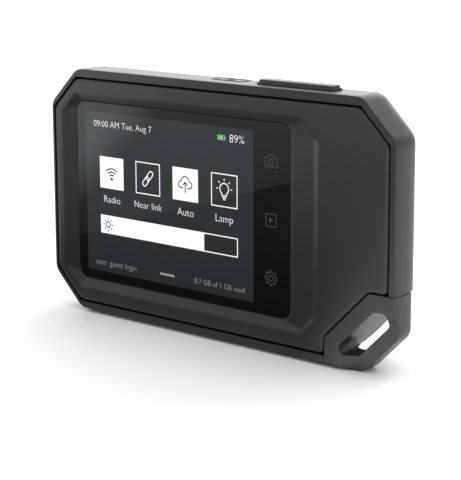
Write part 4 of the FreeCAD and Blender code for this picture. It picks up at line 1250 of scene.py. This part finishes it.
@dataclass
class Studio:
    """The pale floor, the lights and the camera."""

    camera_place: Place = (0.3066, -0.3676, 0.1376)
    turn: float = 38.9
    tilt: float = 10.9
    lens: float = 116.39
    shift: Point = (-0.0597, -0.1)
    film: float = 36.0
    clip: Span = (0.01, 100.0)
    floor_reach: float = 30.0
    floor_drop: float = 0.0001
    paper: tuple[Colour, Colour] = ((0.9, 0.9, 0.9), (0.93, 0.93, 0.93))
    sky: float = 0.82
    card_tilt: float = 35.0
    card_length: float = 0.7
    card_half: float = 0.5
    card_start: float = -0.014
    card_rise: float = 0.055
    card_low: float = 0.007
    card_shades: Span = (0.13, 0.66)
    card_shaded: float = 0.5
    card_side: float = 1.6
    card_foot: float = 0.42
    card_colour: Colour = (0.9, 0.96, 1.0)
    card_step: tuple[float, float, float] = (-0.085, 0.0175, 0.32)
    card_core: tuple[float, float, float] = (-0.034, 0.064, 0.02)
    lights: tuple[SoftLight, ...] = (
        SoftLight("overhead", (0.0, 0.35, 1.1), (0.0, 0.0, 0.0), (1.4, 1.4), 10.0),
        SoftLight("back_box", (-1.0, 1.3, 0.55), (0.0, 0.0, 0.08), (1.8, 1.0), 9.0),
        SoftLight("right_key", (0.75, -0.1, 0.4), (0.0, 0.0, 0.04), (0.3, 0.7), 0.5),
    )

    def build(self, wardrobe: Wardrobe) -> None:
        """Build the floor, lights and camera.

        Args:
            wardrobe: the finishes.
        """
        scene = bpy.context.scene
        scene.view_settings.view_transform = "Standard"
        self.build_floor(wardrobe.effects)
        self.build_sky(scene)
        self.build_card()
        for light in self.lights:
            light.build()
        data = bpy.data.cameras.new("camera")
        data.lens = self.lens
        data.sensor_width = self.film
        data.shift_x, data.shift_y = self.shift
        data.clip_start, data.clip_end = self.clip
        camera = bpy.data.objects.new("camera", data)
        camera.location = self.camera_place
        camera.rotation_euler = (math.radians(90 - self.tilt), 0.0, math.radians(self.turn))
        scene.collection.objects.link(camera)
        scene.camera = camera

    def build_floor(self, effects: EffectLibrary) -> None:
        """Build the floor under the object.

        Args:
            effects: the shared node groups.
        """
        grid = bmesh.new()
        bmesh.ops.create_grid(grid, x_segments=8, y_segments=8, size=self.floor_reach)
        data = bpy.data.meshes.new("floor")
        grid.to_mesh(data)
        grid.free()
        floor = bpy.data.objects.new("floor", data)
        floor.location.z = -self.floor_drop
        bpy.context.scene.collection.objects.link(floor)
        surface = Surface("floor_paper", effects)
        tone = surface.nodes.noise(3.0, 2.0)
        surface.set(Base_Color=surface.nodes.blend(tone, *self.paper),
                    Roughness=0.6, Specular_IOR_Level=0.2)
        floor.data.materials.append(surface.material)

    def build_card(self) -> None:
        """Build the glowing card that only reflections see, in front of the object."""
        slope = math.radians(self.card_tilt)
        far = (self.card_start - self.card_length * math.cos(slope),
               self.card_length * math.sin(slope))
        corners = [(-self.card_half, self.card_start, 0.0),
                   (self.card_half, self.card_start, 0.0),
                   (self.card_half, *far), (-self.card_half, *far)]
        data = bpy.data.meshes.new("front_card")
        data.from_pydata(corners, [], [(0, 1, 2, 3)])
        card = bpy.data.objects.new("front_card", data)
        bpy.context.scene.collection.objects.link(card)
        for ray in ("camera", "diffuse", "shadow", "transmission"):
            setattr(card, "visible_" + ray, False)
        material = bpy.data.materials.new("grey_card")
        material.use_nodes = True
        material.node_tree.nodes.clear()
        nodes = NodeTree(material.node_tree)
        parts = nodes.add("SeparateXYZ")
        nodes.feed(parts.inputs[0], nodes.add("TexCoord").outputs["Object"])
        rise = nodes.math("DIVIDE", parts.outputs["Z"], self.card_rise, clamp=True)
        start, level, slant = self.card_step
        line = nodes.math("ADD", nodes.math("MULTIPLY", nodes.math(
            "SUBTRACT", parts.outputs["X"], start), slant), level)
        above = nodes.math("GREATER_THAN", parts.outputs["Z"], line)
        shade = nodes.math("MULTIPLY", nodes.spread(rise, *self.card_shades),
                           nodes.spread(above, self.card_shaded, 1.0))
        middle, half, blur = self.card_core
        away = nodes.math("ABSOLUTE", nodes.math("SUBTRACT", parts.outputs["X"], middle))
        side = nodes.math("DIVIDE", nodes.math("SUBTRACT", away, half), blur, clamp=True)
        rest = nodes.math("SUBTRACT", 1.0, side)
        shade = nodes.math("ADD", nodes.math("MULTIPLY", shade, rest),
                           nodes.math("MULTIPLY", side, self.card_side))
        low = nodes.math("DIVIDE", nodes.math("SUBTRACT", self.card_low, parts.outputs["Z"]),
                         self.card_low / 2, clamp=True)
        shade = nodes.math("MAXIMUM", shade, nodes.math("MULTIPLY", low, self.card_foot))
        glow = nodes.add("Emission")
        glow.inputs["Color"].default_value = opaque(self.card_colour)
        nodes.feed(glow.inputs["Strength"], shade)
        nodes.feed(nodes.add("OutputMaterial").inputs["Surface"], glow.outputs[0])
        card.data.materials.append(material)

    def build_sky(self, scene: bpy.types.Scene) -> None:
        """Build the even light of the room.

        Args:
            scene: the scene to light.
        """
        world = bpy.data.worlds.new("room")
        world.use_nodes = True
        back = world.node_tree.nodes["Background"]
        back.inputs["Color"].default_value = (1.0, 1.0, 1.0, 1.0)
        back.inputs["Strength"].default_value = self.sky
        scene.world = world


def main() -> None:
    """Build the looks in order."""
    logging.basicConfig(level=logging.INFO, format="%(message)s")
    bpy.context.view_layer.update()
    wardrobe = Wardrobe()
    for assembly in (Studio(), Shell(), Screen(), TopKeys(), Optics(), Internals()):
        assembly.build(wardrobe)
        LOG.info("built %s", type(assembly).__name__)


if __name__ == "__main__":
    main()
